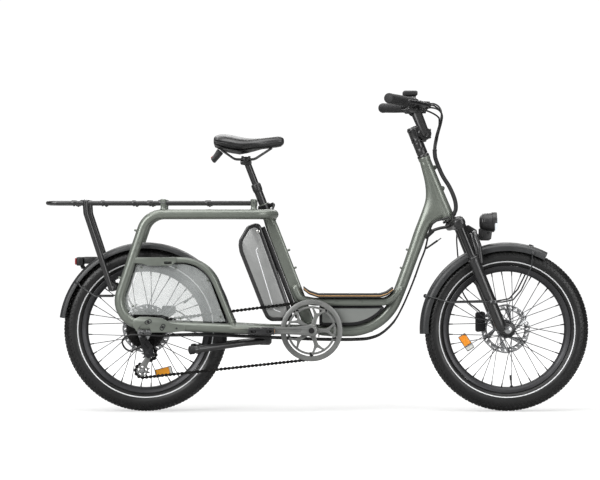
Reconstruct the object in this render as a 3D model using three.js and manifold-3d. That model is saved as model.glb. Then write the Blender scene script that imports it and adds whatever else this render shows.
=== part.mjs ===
// Compact electric cargo bicycle, millimetres. X points forward, Y to the rider's left, Z up.
// The origin is on the ground under the middle of the bicycle.
import * as THREE from 'three';
import { mergeVertices } from 'three/addons/utils/BufferGeometryUtils.js';
import Module from 'manifold-3d';

const wasm = await Module();
wasm.setup();

// ---- driving dimensions ----
const GAP = 0.3; // air between neighbouring pieces
const TYRE_R = 265; // 20 inch wheel with a 62 mm wide tyre
const TYRE_W = 62;
const WHEEL_SEGMENTS = 36;
const REAR = { x: -556, z: TYRE_R }; // rear axle
const FRONT = { x: 612, z: TYRE_R }; // front axle
const BB = { x: -20, z: 263 }; // bottom bracket
const SEAT_LEAN = THREE.MathUtils.degToRad(21); // seat tube leans back from upright
const STEER_LEAN = THREE.MathUtils.degToRad(22); // steering axis leans back from upright
const HEAD_TOP = { x: 343.8, z: 822.6 }; // steering axis at the head tube's top
const HEAD_LENGTH = 216;
const FORK_OFFSET = 40; // axle ahead of the steering axis
const LEG_OFFSET = 22; // fork legs ahead of the steering axis
const LEG_Y = 64;
const AXLE_S = 617.5; // front axle, measured down the steering axis
const LOOP_Y = 85; // side tubes of the cargo loop
const LOOP_R = 15.5;
const LOOP_Z = 637;
const STAY_JOIN_X = -490; // where the top loop meets the rear frames
const CHAINRING_R = 93; // pitch radius of 46 teeth
const SMALL_COG_R = 24.5; // pitch radius of 12 teeth
const PULLEY_R = 22.5; // pitch radius of 11 teeth
const CHAINRING_Y = -50;
const COG_Y = -62;
const GUIDE_PULLEY = { x: -542, z: 188 };
const TENSION_PULLEY = { x: -564, z: 134 };
const CRANK_LENGTH = 160;
const RACK_Y = 80;
const RACK_Z = 673;
const RACK_R = 8;
const RACK_FRONT_X = -206;
const RACK_TAIL_X = -869;
const DECK_Y = 32.5;
const BAR_R = 11.1;
const BATTERY_HALF = 46;
const STAND_PIVOT = { x: -161.5, z: 229 };

// ---- helpers ----
const V = (x, y, z) => new THREE.Vector3(x, y, z);
const along = (lean, s) => ({ x: Math.sin(lean) * s, z: Math.cos(lean) * s });

// A point in the fork's own frame: s down the steering axis, off ahead of it.
function forkPoint(s, off, y) {
  const x = HEAD_TOP.x + Math.sin(STEER_LEAN) * s + Math.cos(STEER_LEAN) * off;
  const z = HEAD_TOP.z - Math.cos(STEER_LEAN) * s + Math.sin(STEER_LEAN) * off;
  return V(x, y, z);
}

// A point on the seat tube's axis at height z.
const seatX = (z) => BB.x - Math.tan(SEAT_LEAN) * (z - BB.z);

// A closed three.js geometry as a manifold solid, for joining and cutting.
function solid(geometry) {
  const plain = new THREE.BufferGeometry();
  plain.setAttribute('position', geometry.getAttribute('position'));
  if (geometry.index) plain.setIndex(geometry.index);
  const merged = mergeVertices(plain, 1e-3);
  const vertProperties = new Float32Array(merged.attributes.position.array);
  const triVerts = new Uint32Array(merged.index.array);
  const made = new wasm.Manifold(new wasm.Mesh({ numProp: 3, vertProperties, triVerts }));
  if (made.volume() >= 0) return made;
  for (let i = 0; i < triVerts.length; i += 3) {
    [triVerts[i + 1], triVerts[i + 2]] = [triVerts[i + 2], triVerts[i + 1]];
  }
  return new wasm.Manifold(new wasm.Mesh({ numProp: 3, vertProperties, triVerts }));
}

const join = (...parts) => parts.reduce((a, b) => a.add(b));
const cut = (part, ...tools) => tools.reduce((a, b) => a.subtract(b), part);

// A straight round rod between two points, with its own radius at each end.
function rod(a, b, radiusA, radiusB = radiusA, sides = 12) {
  const length = a.distanceTo(b);
  const g = new THREE.CylinderGeometry(radiusB, radiusA, length, sides);
  g.applyQuaternion(new THREE.Quaternion().setFromUnitVectors(V(0, 1, 0), b.clone().sub(a).normalize()));
  const middle = a.clone().add(b).multiplyScalar(0.5);
  g.translate(middle.x, middle.y, middle.z);
  return solid(g);
}

// A disc or drum whose axis lies along Y.
const drum = (x, z, y0, y1, radius, sides = 24) => rod(V(x, y0, z), V(x, y1, z), radius, radius, sides);

function block(x0, x1, y0, y1, z0, z1) {
  const g = new THREE.BoxGeometry(x1 - x0, y1 - y0, z1 - z0);
  g.translate((x0 + x1) / 2, (y0 + y1) / 2, (z0 + z1) / 2);
  return solid(g);
}

// A block with its length along a lean in the XZ plane.
function leaningBlock(centre, lean, length, depth, width) {
  const g = new THREE.BoxGeometry(depth, width, length);
  g.rotateY(lean);
  g.translate(centre.x, centre.y, centre.z);
  return solid(g);
}

// A side outline in X and Z, given thickness from y0 to y1. Windows are holes in it.
function plate(points, y0, y1, windows = []) {
  const shape = new THREE.Shape(points.map(([x, z]) => new THREE.Vector2(x, z)));
  shape.holes = windows.map((w) => new THREE.Path(w.map(([x, z]) => new THREE.Vector2(x, z))));
  const g = new THREE.ExtrudeGeometry(shape, { depth: y1 - y0, bevelEnabled: false });
  g.rotateX(Math.PI / 2);
  g.translate(0, y1, 0);
  return solid(g);
}

const arcPoints = (cx, cz, r, from, to, steps) =>
  Array.from({ length: steps + 1 }, (_, i) => {
    const a = THREE.MathUtils.degToRad(from + ((to - from) * i) / steps);
    return [cx + r * Math.cos(a), cz + r * Math.sin(a)];
  });

// A ring turned about an axis along Y. The profile is [radius, y] pairs and closes on itself.
function turned(profile, centre, segments = WHEEL_SEGMENTS) {
  const points = [...profile, profile[0]].map(([r, y]) => new THREE.Vector2(r, y));
  const g = new THREE.LatheGeometry(points, segments);
  g.translate(centre.x, 0, centre.z);
  return solid(g);
}

// A path through given points, with a ring of the tube at each of them.
class Route extends THREE.Curve {
  constructor(points) {
    super();
    this.points = points;
  }
  getPoint(t, target = new THREE.Vector3()) {
    const last = this.points.length - 1;
    const place = Math.min(Math.max(t, 0), 1) * last;
    const i = Math.min(Math.floor(place), last - 1);
    return target.lerpVectors(this.points[i], this.points[i + 1], place - i);
  }
  getPointAt(u, target) {
    return this.getPoint(u, target);
  }
  getTangentAt(u, target) {
    return this.getTangent(u, target);
  }
  getSpacedPoints(divisions) {
    return this.getPoints(divisions);
  }
}

// Corner points with a bend radius each, turned into straight runs and arcs.
function bent(corners, stepsPerBend = 6) {
  const out = [corners[0][0]];
  for (let i = 1; i < corners.length - 1; i++) {
    const [corner, radius] = corners[i];
    const back = corners[i - 1][0].clone().sub(corner).normalize();
    const on = corners[i + 1][0].clone().sub(corner).normalize();
    const half = back.angleTo(on) / 2;
    const reach = radius / Math.tan(half);
    const centre = back.clone().add(on).normalize().multiplyScalar(radius / Math.sin(half)).add(corner);
    const start = corner.clone().addScaledVector(back, reach);
    const from = start.clone().sub(centre);
    const axis = from.clone().cross(corner.clone().addScaledVector(on, reach).sub(centre)).normalize();
    const sweep = Math.PI - 2 * half;
    for (let k = 0; k <= stepsPerBend; k++) {
      out.push(from.clone().applyAxisAngle(axis, (sweep * k) / stepsPerBend).add(centre));
    }
  }
  out.push(corners[corners.length - 1][0]);
  return out;
}

function tube(points, radius, sides = 12) {
  const circle = new THREE.Shape();
  for (let i = 0; i < sides; i++) {
    const a = (2 * Math.PI * i) / sides;
    const p = [radius * Math.cos(a), radius * Math.sin(a)];
    if (i === 0) circle.moveTo(...p);
    else circle.lineTo(...p);
  }
  const steps = points.length - 1;
  return solid(new THREE.ExtrudeGeometry(circle, { steps, bevelEnabled: false, extrudePath: new Route(points) }));
}

// ---- colours ----
const paint = { color: 0x6c7069, roughness: 0.45, metalness: 0.3 };
const black = { color: 0x1c1c1d, roughness: 0.4, metalness: 0.2 };
const darkPlastic = { color: 0x2b2c2d, roughness: 0.6, metalness: 0.0 };
const grey = { color: 0x8d8d8d, roughness: 0.5, metalness: 0.1 };
const rubber = { color: 0x161616, roughness: 0.85, metalness: 0.0 };
const steel = { color: 0x9a9a9a, roughness: 0.3, metalness: 1.0 };
const wood = { color: 0xc9a06a, roughness: 0.6, metalness: 0.0 };
const clear = { color: 0xd8dadb, roughness: 0.3, metalness: 0.0, transparent: true, opacity: 0.4 };
const padding = { color: 0x3b3b3c, roughness: 0.7, metalness: 0.0 };

const bicycle = new THREE.Group();

function add(name, part, look) {
  const m = part.getMesh();
  const g = new THREE.BufferGeometry();
  g.setAttribute('position', new THREE.BufferAttribute(new Float32Array(m.vertProperties), 3));
  g.setIndex(new THREE.BufferAttribute(new Uint32Array(m.triVerts), 1));
  g.computeVertexNormals();
  const mesh = new THREE.Mesh(g, new THREE.MeshStandardMaterial(look));
  mesh.name = name;
  bicycle.add(mesh);
}

// ---- frame ----
const SEAT_TOP_Z = 618; // the squared seat tube ends here, and a round collar goes on above it
const COLLAR_TOP_Z = 668;
const POST_R = 13.6;

function seatTube(grow) {
  const middleZ = (BB.z + SEAT_TOP_Z) / 2;
  const length = (SEAT_TOP_Z - BB.z) / Math.cos(SEAT_LEAN);
  const centre = V(seatX(middleZ), 0, middleZ);
  const body = leaningBlock(centre, -SEAT_LEAN, length, 40 + 2 * grow, 36 + 2 * grow);
  const shell = drum(BB.x, BB.z, -36.5 - grow, 36.5 + grow, 21 + grow, 20);
  const collar = rod(V(seatX(600), 0, 600), V(seatX(COLLAR_TOP_Z), 0, COLLAR_TOP_Z), 17.5 + grow, 17.5 + grow, 16);
  return join(body, shell, collar);
}

function steererBore() {
  return rod(forkPoint(-5, 0, 0), forkPoint(HEAD_LENGTH + 14, 0, 0), 15.2, 15.2, 16);
}

function downTube() {
  const bend = 165;
  const run = along(THREE.MathUtils.degToRad(20.6), 300);
  const corner = V(215.8, 0, 260);
  const path = bent([[V(BB.x + 4, 0, 260)], [corner, bend], [V(corner.x + run.x, 0, corner.z + run.z)]], 6);
  const gusset = plate(
    [[266, 445], [314, 586], [336, 645], [350, 686], [351, 716], [346, 748], [333, 786], [331, 818],
      [356, 822], [434, 632], [418, 612], [402, 620], [367, 609], [347, 552], [304, 445]],
    -17, 17);
  const head = rod(forkPoint(0, 0, 0), forkPoint(HEAD_LENGTH, 0, 0), 18.5, 20.5, 18);
  // A ring with a through hole stands on the front of the head tube, once near each end.
  const eyelets = [44, 118].map((s) => {
    const p = forkPoint(s, 23, 0);
    return cut(drum(p.x, p.z, -6, 6, 9, 12), drum(p.x + 2, p.z + 1, -8, 8, 4, 10));
  });
  return cut(join(tube(path, 19, 12), gusset, head, ...eyelets), seatTube(GAP), steererBore());
}

add('down_tube', downTube(), paint);

const postBore = rod(V(seatX(420), 0, 420), V(seatX(670), 0, 670), POST_R + 0.35, POST_R + 0.35, 16);
const spindleBore = drum(BB.x, BB.z, -40, 40, 12.4, 16);
add('seat_tube', cut(seatTube(0), postBore, spindleBore), paint);

// Two tubes carry the footboard, tied by two cross tubes.
function deckTubes() {
  const sides = [-1, 1].map((side) => {
    const y = side * DECK_Y;
    const path = bent([[V(-78, y, 409)], [V(-56, y, 362), 34], [V(-10, y, 354), 90], [V(230, y, 354), 60],
      [V(274, y, 404)]], 3);
    return tube(path, 12.5, 10);
  });
  const ties = [40, 175].map((x) => rod(V(x, -DECK_Y, 353), V(x, DECK_Y, 353), 7, 7, 6));
  return join(...sides, ...ties);
}
add('deck_tubes', deckTubes(), paint);

function topLoop() {
  const front = -142;
  const path = bent([[V(STAY_JOIN_X + GAP, -LOOP_Y, LOOP_Z)], [V(front, -LOOP_Y, LOOP_Z), 62],
    [V(front, LOOP_Y, LOOP_Z), 62], [V(STAY_JOIN_X + GAP, LOOP_Y, LOOP_Z)]], 6);
  return cut(tube(path, LOOP_R, 12), seatTube(GAP));
}
add('top_loop', topLoop(), paint);

// The notch that the axle sits in, open downwards, and the plate around it.
function rearFrame(side) {
  const y = side * LOOP_Y;
  const main = tube(bent([[V(STAY_JOIN_X, y, LOOP_Z)], [V(-547.4, y, LOOP_Z), 67], [V(-666, y, 285), 79],
    [V(-285, y, 270.5), 80], [V(-140, side * 29, 265), 80], [V(-30, side * 29, 264)]], 5), LOOP_R, 12);
  const inner = tube(bent([[V(-590, y, 490)], [V(-358, y, 490), 120], [V(-270, y, 274)]], 6), 9, 8);
  // The bridge behind the battery, which the mudguard's front end is bolted to.
  const bridge = side < 0 ? [rod(V(-258, -70, 270), V(-258, 54, 270), 8, 8, 8)] : [];
  const near = side < 0 ? [-91, -77] : [77, 91];
  const web = plate([[-612, 300], [-590, 306], [-500, 304], [-470, 289], [-425, 280], [-425, 262], [-470, 258],
    [-600, 258], [-618, 274]], ...near);
  const notch = drum(REAR.x, REAR.z - 4, side * 60, side * 105, 21, 20);
  const clearOfAxle = drum(BB.x, BB.z, side * 20, side * 60, 21.5, 20);
  const whole = cut(join(main, inner, web, ...bridge), notch, clearOfAxle, seatTube(GAP));
  return whole.decompose().sort((a, b) => b.volume() - a.volume())[0];
}
add('rear_frame_right', rearFrame(-1), paint);
add('rear_frame_left', rearFrame(1), paint);

// Clear side panels keep coats and feet out of the rear wheel.
function wheelGuard(side) {
  const y = side * 80;
  const outline = [[-581, 478], ...arcPoints(-439, 370, 107, 89, 24, 6), [-295, 291], [-420, 292],
    [-470, 303], [-500, 312], [-590, 314], ...arcPoints(-557, 360, 61, 232, 162, 5), [-607, 398]];
  return plate(outline, y - 1, y + 1);
}
add('wheel_guard_right', wheelGuard(-1), clear);
add('wheel_guard_left', wheelGuard(1), clear);

// A channel round the top of a wheel, between two angles measured from straight ahead.
function mudguard(centre, outer, lip, half, from, to) {
  const wall = 2.5;
  const shoulder = 14;
  const profile = [[lip, -half], [outer - shoulder, -half], [outer, -half + shoulder], [outer, half - shoulder],
    [outer - shoulder, half], [lip, half], [lip, half - wall], [outer - shoulder, half - wall],
    [outer - wall, half - shoulder], [outer - wall, -half + shoulder], [outer - shoulder, -half + wall],
    [lip, -half + wall]];
  const ring = turned(profile, centre, 36);
  const reach = outer * 1.4;
  const wedge = plate([[centre.x, centre.z], ...arcPoints(centre.x, centre.z, reach, from, to, 6)], -60, 60);
  return ring.intersect(wedge);
}

// A bent wire from one edge of a mudguard to the other, or to the frame, given as x, y, z points.
const wire = (points, side) => tube(points.map(([x, y, z]) => V(x, side * y, z)), 2.5, 6);

// The lamp stands on the back of the mudguard.
function rearMudguard() {
  const lamp = block(-778, -754, -32, 32, 472, 498);
  const arm = block(-756, -716, -14, 14, 478, 492);
  const stays = [-1, 1].map((side) => wire([[-773, 36.5, 416], [-766, 46, 405], [-714, 80, 373], [-655, 84, 373]], side));
  const foot = block(-276, -267, -16, 16, 272, 300);
  return join(cut(join(lamp, arm), drum(REAR.x, REAR.z, -60, 60, 280.5, 60)), mudguard(REAR, 282, 264, 38, 3, 172),
    ...stays, foot);
}
add('rear_mudguard', rearMudguard(), darkPlastic);

function rack() {
  const bend = 34;
  const frame = tube(bent([[V(RACK_FRONT_X + 8, -RACK_Y, RACK_Z)], [V(RACK_TAIL_X, -RACK_Y, RACK_Z), bend],
    [V(RACK_TAIL_X, RACK_Y, RACK_Z), bend], [V(RACK_FRONT_X + 8, RACK_Y, RACK_Z)]], 4), RACK_R, 8);
  const bars = [-779, -588, -347, RACK_FRONT_X].map((x) => rod(V(x, -RACK_Y, RACK_Z), V(x, RACK_Y, RACK_Z), 6, 6, 6));
  const plates = [-748, -498].map((x) => block(x - 14, x + 14, -RACK_Y, RACK_Y, RACK_Z + 5, RACK_Z + 10.5));
  const onLoop = LOOP_Z + LOOP_R + GAP;
  const posts = [-1, 1].flatMap((side) =>
    [RACK_FRONT_X, -496].map((x) => rod(V(x, side * 82, onLoop), V(x, side * 82, RACK_Z), 9.5, 9.5, 10)));
  const stays = [-1, 1].map((side) =>
    tube(bent([[V(-743, side * RACK_Y, RACK_Z)], [V(-743, side * RACK_Y, 640), 40], [V(-661, side * RACK_Y, 392)]], 3),
      9.5, 8));
  const tabs = [-1, 1].map((side) => block(-668, -648, side * RACK_Y - 2.5, side * RACK_Y + 2.5, 394, 412));
  return join(frame, ...bars, ...plates, ...posts, ...stays, ...tabs);
}
const rearFramesGrown = [-1, 1].map((side) => {
  const run = { x: -547.4, z: LOOP_Z };
  return rod(V(run.x, side * LOOP_Y, run.z), V(-666, side * LOOP_Y, 285), LOOP_R + GAP, LOOP_R + GAP, 14);
});
add('rack', cut(rack(), ...rearFramesGrown), black);

function footboard() {
  const t = 12;
  const top = [[-46, 404], [-28, 390], [2, 380], [202, 380], [224, 387], [243, 401]];
  const under = top.map(([x, z]) => [x, z - t]).reverse();
  return plate([...top, ...under], -57, 57);
}
add('deck_board', footboard(), wood);

function controllerCase() {
  return plate([[8, 280], [101.7, 280], ...arcPoints(101.7, 425, 144.6, 272, 321, 6), [206, 340], [8, 340]], -26, 26);
}
add('controller_case', controllerCase(), grey);

// The dock that the battery clicks on to, along the back of the seat tube.
function batteryRail() {
  const z = 455;
  const off = 20 + GAP + 4.5;
  return leaningBlock(V(seatX(z) - off / Math.cos(SEAT_LEAN), 0, z), -SEAT_LEAN, 275, 8, 50);
}
add('battery_rail', batteryRail(), black);

// ---- battery ----
function batteryCase() {
  const outline = [[-189, 614], [-228, 599], [-254, 554], [-255.5, 536], [-252, 514], [-178, 325], [-167, 303],
    [-152, 292], [-78, 292], [-84, 324]];
  const lockBore = rod(V(-192, -50, 582), V(-192, -30, 582), 6.6, 6.6, 12);
  return cut(plate(outline, -BATTERY_HALF, BATTERY_HALF), lockBore);
}
add('battery_case', batteryCase(), grey);
add('battery_lock', rod(V(-192, -49, 582), V(-192, -31, 582), 6.2, 6.2, 12), steel);

// ---- rear axle and hangers ----
function rearAxle() {
  const spindle = drum(REAR.x, REAR.z, -88, 88, 6.9, 12);
  const nuts = [-1, 1].map((side) => drum(REAR.x, REAR.z, side * 68, side * 80, 11.5, 6));
  const hangers = [-1, 1].map((side) => {
    const near = side < 0 ? [-69.1, -66] : [66, 69.1];
    const drop = side < 0 ? 232 : 248;
    return plate([[-584, 296], [-528, 296], [-530, 262], [-546, drop], [-572, drop], [-582, 262]], ...near);
  });
  return join(spindle, ...nuts, ...hangers);
}
add('rear_axle', rearAxle(), black);

// ---- wheels ----
const RIM_IN = 187;
const RIM_OUT = 206;
const SPOKES = 36;

function tyre(centre) {
  const mid = 234.5;
  const half = TYRE_W / 2;
  const outside = arcPoints(mid, 0, 1, -118, 118, 8).map(([c, s]) => [mid + (TYRE_R - mid) * (c - mid), half * s]);
  const inside = arcPoints(mid, 0, 1, 122, -122, 3).map(([c, s]) => [mid + 26 * (c - mid), (half - 4) * s]);
  const bead = [RIM_OUT + 2 * GAP, 16];
  return turned([...outside, bead, [bead[0], 12.5], ...inside, [bead[0], -12.5], [bead[0], -16]], centre);
}

function rim(centre) {
  return turned([[RIM_OUT, 17], [191, 12.5], [RIM_IN, 5], [RIM_IN, -5], [191, -12.5], [RIM_OUT, -17],
    [198, -12], [198, 12]], centre);
}

// Spokes leave the two flanges in turn and slant both ways. Those that slant forwards start further
// out along the axle, so they pass clear of the ones they cross.
function spokes(centre, flangeR, flangeY, slant) {
  return Array.from({ length: SPOKES }, (_, i) => {
    const side = i % 2 ? 1 : -1;
    const forwards = Math.floor(i / 2) % 2 === 1;
    const rimAngle = ((i + 0.5) * 2 * Math.PI) / SPOKES;
    const hubAngle = rimAngle + THREE.MathUtils.degToRad(forwards ? slant : -slant);
    const y = side * (flangeY + (forwards ? 2.6 : -2.6));
    const hubEnd = V(centre.x + flangeR * Math.cos(hubAngle), y, centre.z + flangeR * Math.sin(hubAngle));
    const end = RIM_IN - 1.5;
    const rimEnd = V(centre.x + end * Math.cos(rimAngle), side * 2.5, centre.z + end * Math.sin(rimAngle));
    return rod(hubEnd, rimEnd, 1.3, 1.3, 3);
  });
}

function frontHub() {
  const shell = turned([[6.4, -34], [27, -33], [27, -25], [14, -20], [14, 20], [27, 25], [27, 33],
    [6.4, 34]], FRONT, 18);
  return join(shell, ...spokes(FRONT, 24, 29, 48));
}

function hubMotor() {
  const shell = turned([[7.4, -29], [52, -29], [62, -24], [62, 24], [52, 40], [7.4, 44]], REAR, 24);
  return join(shell, ...spokes(REAR, 60.5, 20, 14));
}

// A brake disc of 160 mm, with its ring held by slanting arms.
function rotor(centre, y) {
  const arms = 6;
  const windows = Array.from({ length: arms }, (_, i) => {
    const from = i * 60;
    return [...arcPoints(centre.x, centre.z, 62, from + 34, from + 74, 4),
      ...arcPoints(centre.x, centre.z, 30, from + 44, from + 4, 3)];
  });
  const bore = arcPoints(centre.x, centre.z, 14, 0, 330, 11);
  return plate(arcPoints(centre.x, centre.z, 80, 0, 350, 35), y - 1, y + 1, [...windows, bore]);
}

for (const [label, centre] of [['front', FRONT], ['rear', REAR]]) {
  add(`${label}_tyre`, tyre(centre), rubber);
  add(`${label}_rim`, rim(centre), darkPlastic);
}
add('front_hub', frontHub(), black);
add('rear_hub_motor', hubMotor(), black);
add('front_rotor', rotor(FRONT, 38), steel);
add('rear_rotor', rotor(REAR, 50), steel);

function caliper(x0, x1, z0, z1, y, centre, arm) {
  const body = block(x0, x1, y - 11.5, y + 14, z0, z1); // the inner half is slim, clear of the spokes
  return cut(join(body, ...arm), drum(centre.x, centre.z, y - 3, y + 3, 84, 40));
}
add('rear_caliper', caliper(-512, -462, 300, 340, 50, REAR,
  [block(-508, -470, 62, 69, 300, 330)]), black);

// ---- drivetrain ----
function cassette() {
  const radii = [19.6, 28.5, 32.6, 36.6, 42.6, 52.7, 64.8]; // the chain sits on the smallest
  const profile = [[7.5, -65.5]];
  radii.forEach((r, i) => {
    const y = i === 0 ? -65.5 : -62.6 + 4.6 * i;
    const next = -62.6 + 4.6 * (i + 1) - (i === 0 ? -0.2 : 0);
    profile.push([r, y], [r, i === 6 ? -31.5 : next]);
  });
  profile.push([7.5, -31.5]);
  return turned(profile, REAR, 18);
}
add('cassette', cassette(), black);

const CHAIN_HALF = 4; // half the height of the links
const GUARD_Y = [-60, -56];

// The toothed ring and the guard disc outside the chain, held together by five bolts.
function chainring() {
  const outer = CHAINRING_R - CHAIN_HALF - 1;
  const ring = turned([[72, CHAINRING_Y - 1.5], [outer, CHAINRING_Y - 1.5], [outer, CHAINRING_Y + 1.5],
    [72, CHAINRING_Y + 1.5]], BB, 30);
  const guard = plate(arcPoints(BB.x, BB.z, 100, 0, 348, 29), ...GUARD_Y, [arcPoints(BB.x, BB.z, 82.6, 0, 348, 29)]);
  const bolts = [54, 126, 198, 270, 342].map((deg) => {
    const [[x, z]] = arcPoints(BB.x, BB.z, 80, deg, deg, 1);
    return drum(x, z, GUARD_Y[0], CHAINRING_Y + 1, 6.5, 6);
  });
  return join(ring, guard, ...bolts);
}
add('chainring', chainring(), black);

// The right arm and the five forked arms that hold the chainring are one forging.
function spider() {
  const y = GUARD_Y[0] - 3.4;
  const at = (deg, r) => {
    const [[x, z]] = arcPoints(BB.x, BB.z, r, deg, deg, 1);
    return V(x, y, z);
  };
  const arms = [0, 72, 144, 216, 288].flatMap((deg) => [rod(at(deg, 12), at(deg, 52), 5, 3.2, 5),
    ...[-18, 18].map((turn) => rod(at(deg, 51), at(deg + turn, 78), 3, 3, 4))]);
  const boss = drum(BB.x, BB.z, -68, -47, 21, 18);
  return cut(join(...arms, boss), drum(BB.x, BB.z, -67, -40, 12.4, 16));
}

function crankArm(side) {
  const tip = BB.x + side * CRANK_LENGTH;
  const y = side < 0 ? [-82, -67.5] : [67.5, 82];
  const arm = plate([[BB.x, BB.z - 15], [BB.x, BB.z + 15], [tip, BB.z + 12], [tip, BB.z - 12]], ...y);
  const root = drum(BB.x, BB.z, y[0], y[1], 18, 18);
  const end = drum(tip, BB.z, y[0], y[1], 13, 14);
  const axle = drum(tip, BB.z, side * 70, side * 178, 5.8, 10);
  return join(arm, root, end, axle);
}
add('crank_arm_right', join(crankArm(-1), spider()), grey);
add('crank_arm_left', join(crankArm(1), drum(BB.x, BB.z, -66.5, 70, 12, 16)), grey);

function pedal(side) {
  const x = BB.x + side * CRANK_LENGTH;
  const y = side < 0 ? [-182, -88] : [88, 182];
  const body = block(x - 43, x + 43, y[0], y[1], BB.z - 10, BB.z + 10);
  const slots = [-1, 1].map((half) => {
    const [a, b] = half < 0 ? [x - 32, x - 14] : [x + 14, x + 32];
    return block(a, b, y[0] + 12, y[1] - 12, BB.z - 12, BB.z + 12);
  });
  return cut(body, ...slots, drum(x, BB.z, y[0] - 2, y[1] + 2, 6.2, 12));
}
add('pedal_right', pedal(-1), black);
add('pedal_left', pedal(1), black);

// The chain's route round the four wheels, each with its turning sense: -1 clockwise seen from the right.
const WHEELS = [
  { x: BB.x, z: BB.z, r: CHAINRING_R, y: CHAINRING_Y, turn: -1, steps: 14 },
  { x: TENSION_PULLEY.x, z: TENSION_PULLEY.z, r: PULLEY_R, y: COG_Y, turn: -1, steps: 8 },
  { x: GUIDE_PULLEY.x, z: GUIDE_PULLEY.z, r: PULLEY_R, y: COG_Y, turn: 1, steps: 5 },
  { x: REAR.x, z: REAR.z, r: SMALL_COG_R, y: COG_Y, turn: -1, steps: 9 },
];

// The angle of the line's normal where the chain runs from wheel a to wheel b.
function runNormal(a, b) {
  const facing = Math.atan2(b.z - a.z, b.x - a.x);
  const apart = Math.hypot(b.x - a.x, b.z - a.z);
  return facing - Math.acos((a.turn * a.r - b.turn * b.r) / apart);
}

function chainPoints() {
  const out = [];
  WHEELS.forEach((w, i) => {
    const before = WHEELS[(i + WHEELS.length - 1) % WHEELS.length];
    const after = WHEELS[(i + 1) % WHEELS.length];
    const flip = w.turn < 0 ? Math.PI : 0;
    const from = runNormal(before, w) + flip;
    let sweep = runNormal(w, after) + flip - from;
    while (sweep * w.turn < 0) sweep += w.turn * 2 * Math.PI;
    while (Math.abs(sweep) > 2 * Math.PI) sweep -= w.turn * 2 * Math.PI;
    for (let k = 0; k <= w.steps; k++) {
      const a = from + (sweep * k) / w.steps;
      out.push([w.x + w.r * Math.cos(a), w.z + w.r * Math.sin(a), w.y]);
    }
  });
  return out;
}

// The chain as one flat band, whose links are as high and wide as the real ones.
function chain() {
  const centre = chainPoints();
  const n = centre.length;
  const half = 3.4;
  const rings = centre.map(([x, z, y], i) => {
    const [ax, az] = centre[(i + n - 1) % n];
    const [bx, bz] = centre[(i + 1) % n];
    const t = new THREE.Vector2(bx - ax, bz - az).normalize();
    const up = { x: -t.y * CHAIN_HALF, z: t.x * CHAIN_HALF };
    return [[x + up.x, y - half, z + up.z], [x + up.x, y + half, z + up.z],
      [x - up.x, y + half, z - up.z], [x - up.x, y - half, z - up.z]];
  });
  const position = new Float32Array(rings.flat(2));
  const index = [];
  for (let i = 0; i < n; i++) {
    for (let k = 0; k < 4; k++) {
      const a = i * 4 + k;
      const b = i * 4 + ((k + 1) % 4);
      const c = ((i + 1) % n) * 4 + k;
      const d = ((i + 1) % n) * 4 + ((k + 1) % 4);
      index.push(a, b, c, b, d, c);
    }
  }
  const g = new THREE.BufferGeometry();
  g.setAttribute('position', new THREE.BufferAttribute(position, 3));
  g.setIndex(index);
  return solid(g);
}
add('chain', chain(), steel);

function pulley(p) {
  const hub = drum(p.x, p.z, COG_Y - 4, COG_Y + 4, 7, 12);
  const disc = drum(p.x, p.z, COG_Y - 1.2, COG_Y + 1.2, PULLEY_R - CHAIN_HALF - 0.6, 22);
  return cut(join(hub, disc), drum(p.x, p.z, COG_Y - 6, COG_Y + 6, 3.3, 10));
}
add('guide_pulley', pulley(GUIDE_PULLEY), black);
add('tension_pulley', pulley(TENSION_PULLEY), black);

// Two side plates with the pulleys between them.
function derailleurCage() {
  const [g, t] = [GUIDE_PULLEY, TENSION_PULLEY];
  const sideAt = (y) => join(
    plate([[g.x - 12, g.z - 4], [g.x + 8, g.z + 12], [g.x + 12, g.z], [t.x + 17, t.z - 4], [t.x + 4, t.z - 17],
      [t.x - 12, t.z - 12], [t.x - 15, t.z + 4]], y - 1, y + 1));
  const pins = [g, t].map((p) => drum(p.x, p.z, COG_Y - 7, COG_Y + 7, 3, 8));
  return join(sideAt(COG_Y - 6.5), sideAt(COG_Y + 6.5), ...pins);
}
add('derailleur_cage', derailleurCage(), black);

// Mounting bolt at the hanger, a link body outside the cassette, and the cage's pivot.
function derailleurBody() {
  const bolt = drum(-562, 238, -90, -76.2, 10, 14);
  const link = plate([[-574, 244], [-552, 246], [-522, 214], [-526, 186], [-548, 176], [-566, 200]], -88, -78);
  const pivot = drum(GUIDE_PULLEY.x, GUIDE_PULLEY.z, -86, -70.2, 12, 14);
  return join(bolt, link, pivot);
}
add('derailleur_body', derailleurBody(), black);

// The housing that runs down the front of the frame, under the bottom tube and back to the derailleur.
function rearHose() {
  const points = [[424, -36, 628], [404, -31, 621], [374, -26, 610], [360, -16, 576], [348, -6, 524], [332, -2, 482],
    [316, 0, 436], [298, 0, 390], [275, 0, 338], [246, 0, 287], [207, 0, 250], [168, 0, 234], [122, -6, 230],
    [60, -18, 230], [-20, -28, 232], [-110, -36, 236], [-161, -40, 238], [-250, -60, 243], [-300, -84, 246],
    [-400, -90, 248], [-500, -92, 247], [-560, -95, 250], [-606, -97, 248], [-626, -96, 230], [-616, -92, 206],
    [-590, -88, 194]];
  const curve = new THREE.CatmullRomCurve3(points.map((p) => V(...p)));
  return tube(curve.getPoints(50), 2.5, 6);
}
add('rear_hose', rearHose(), rubber);

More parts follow.
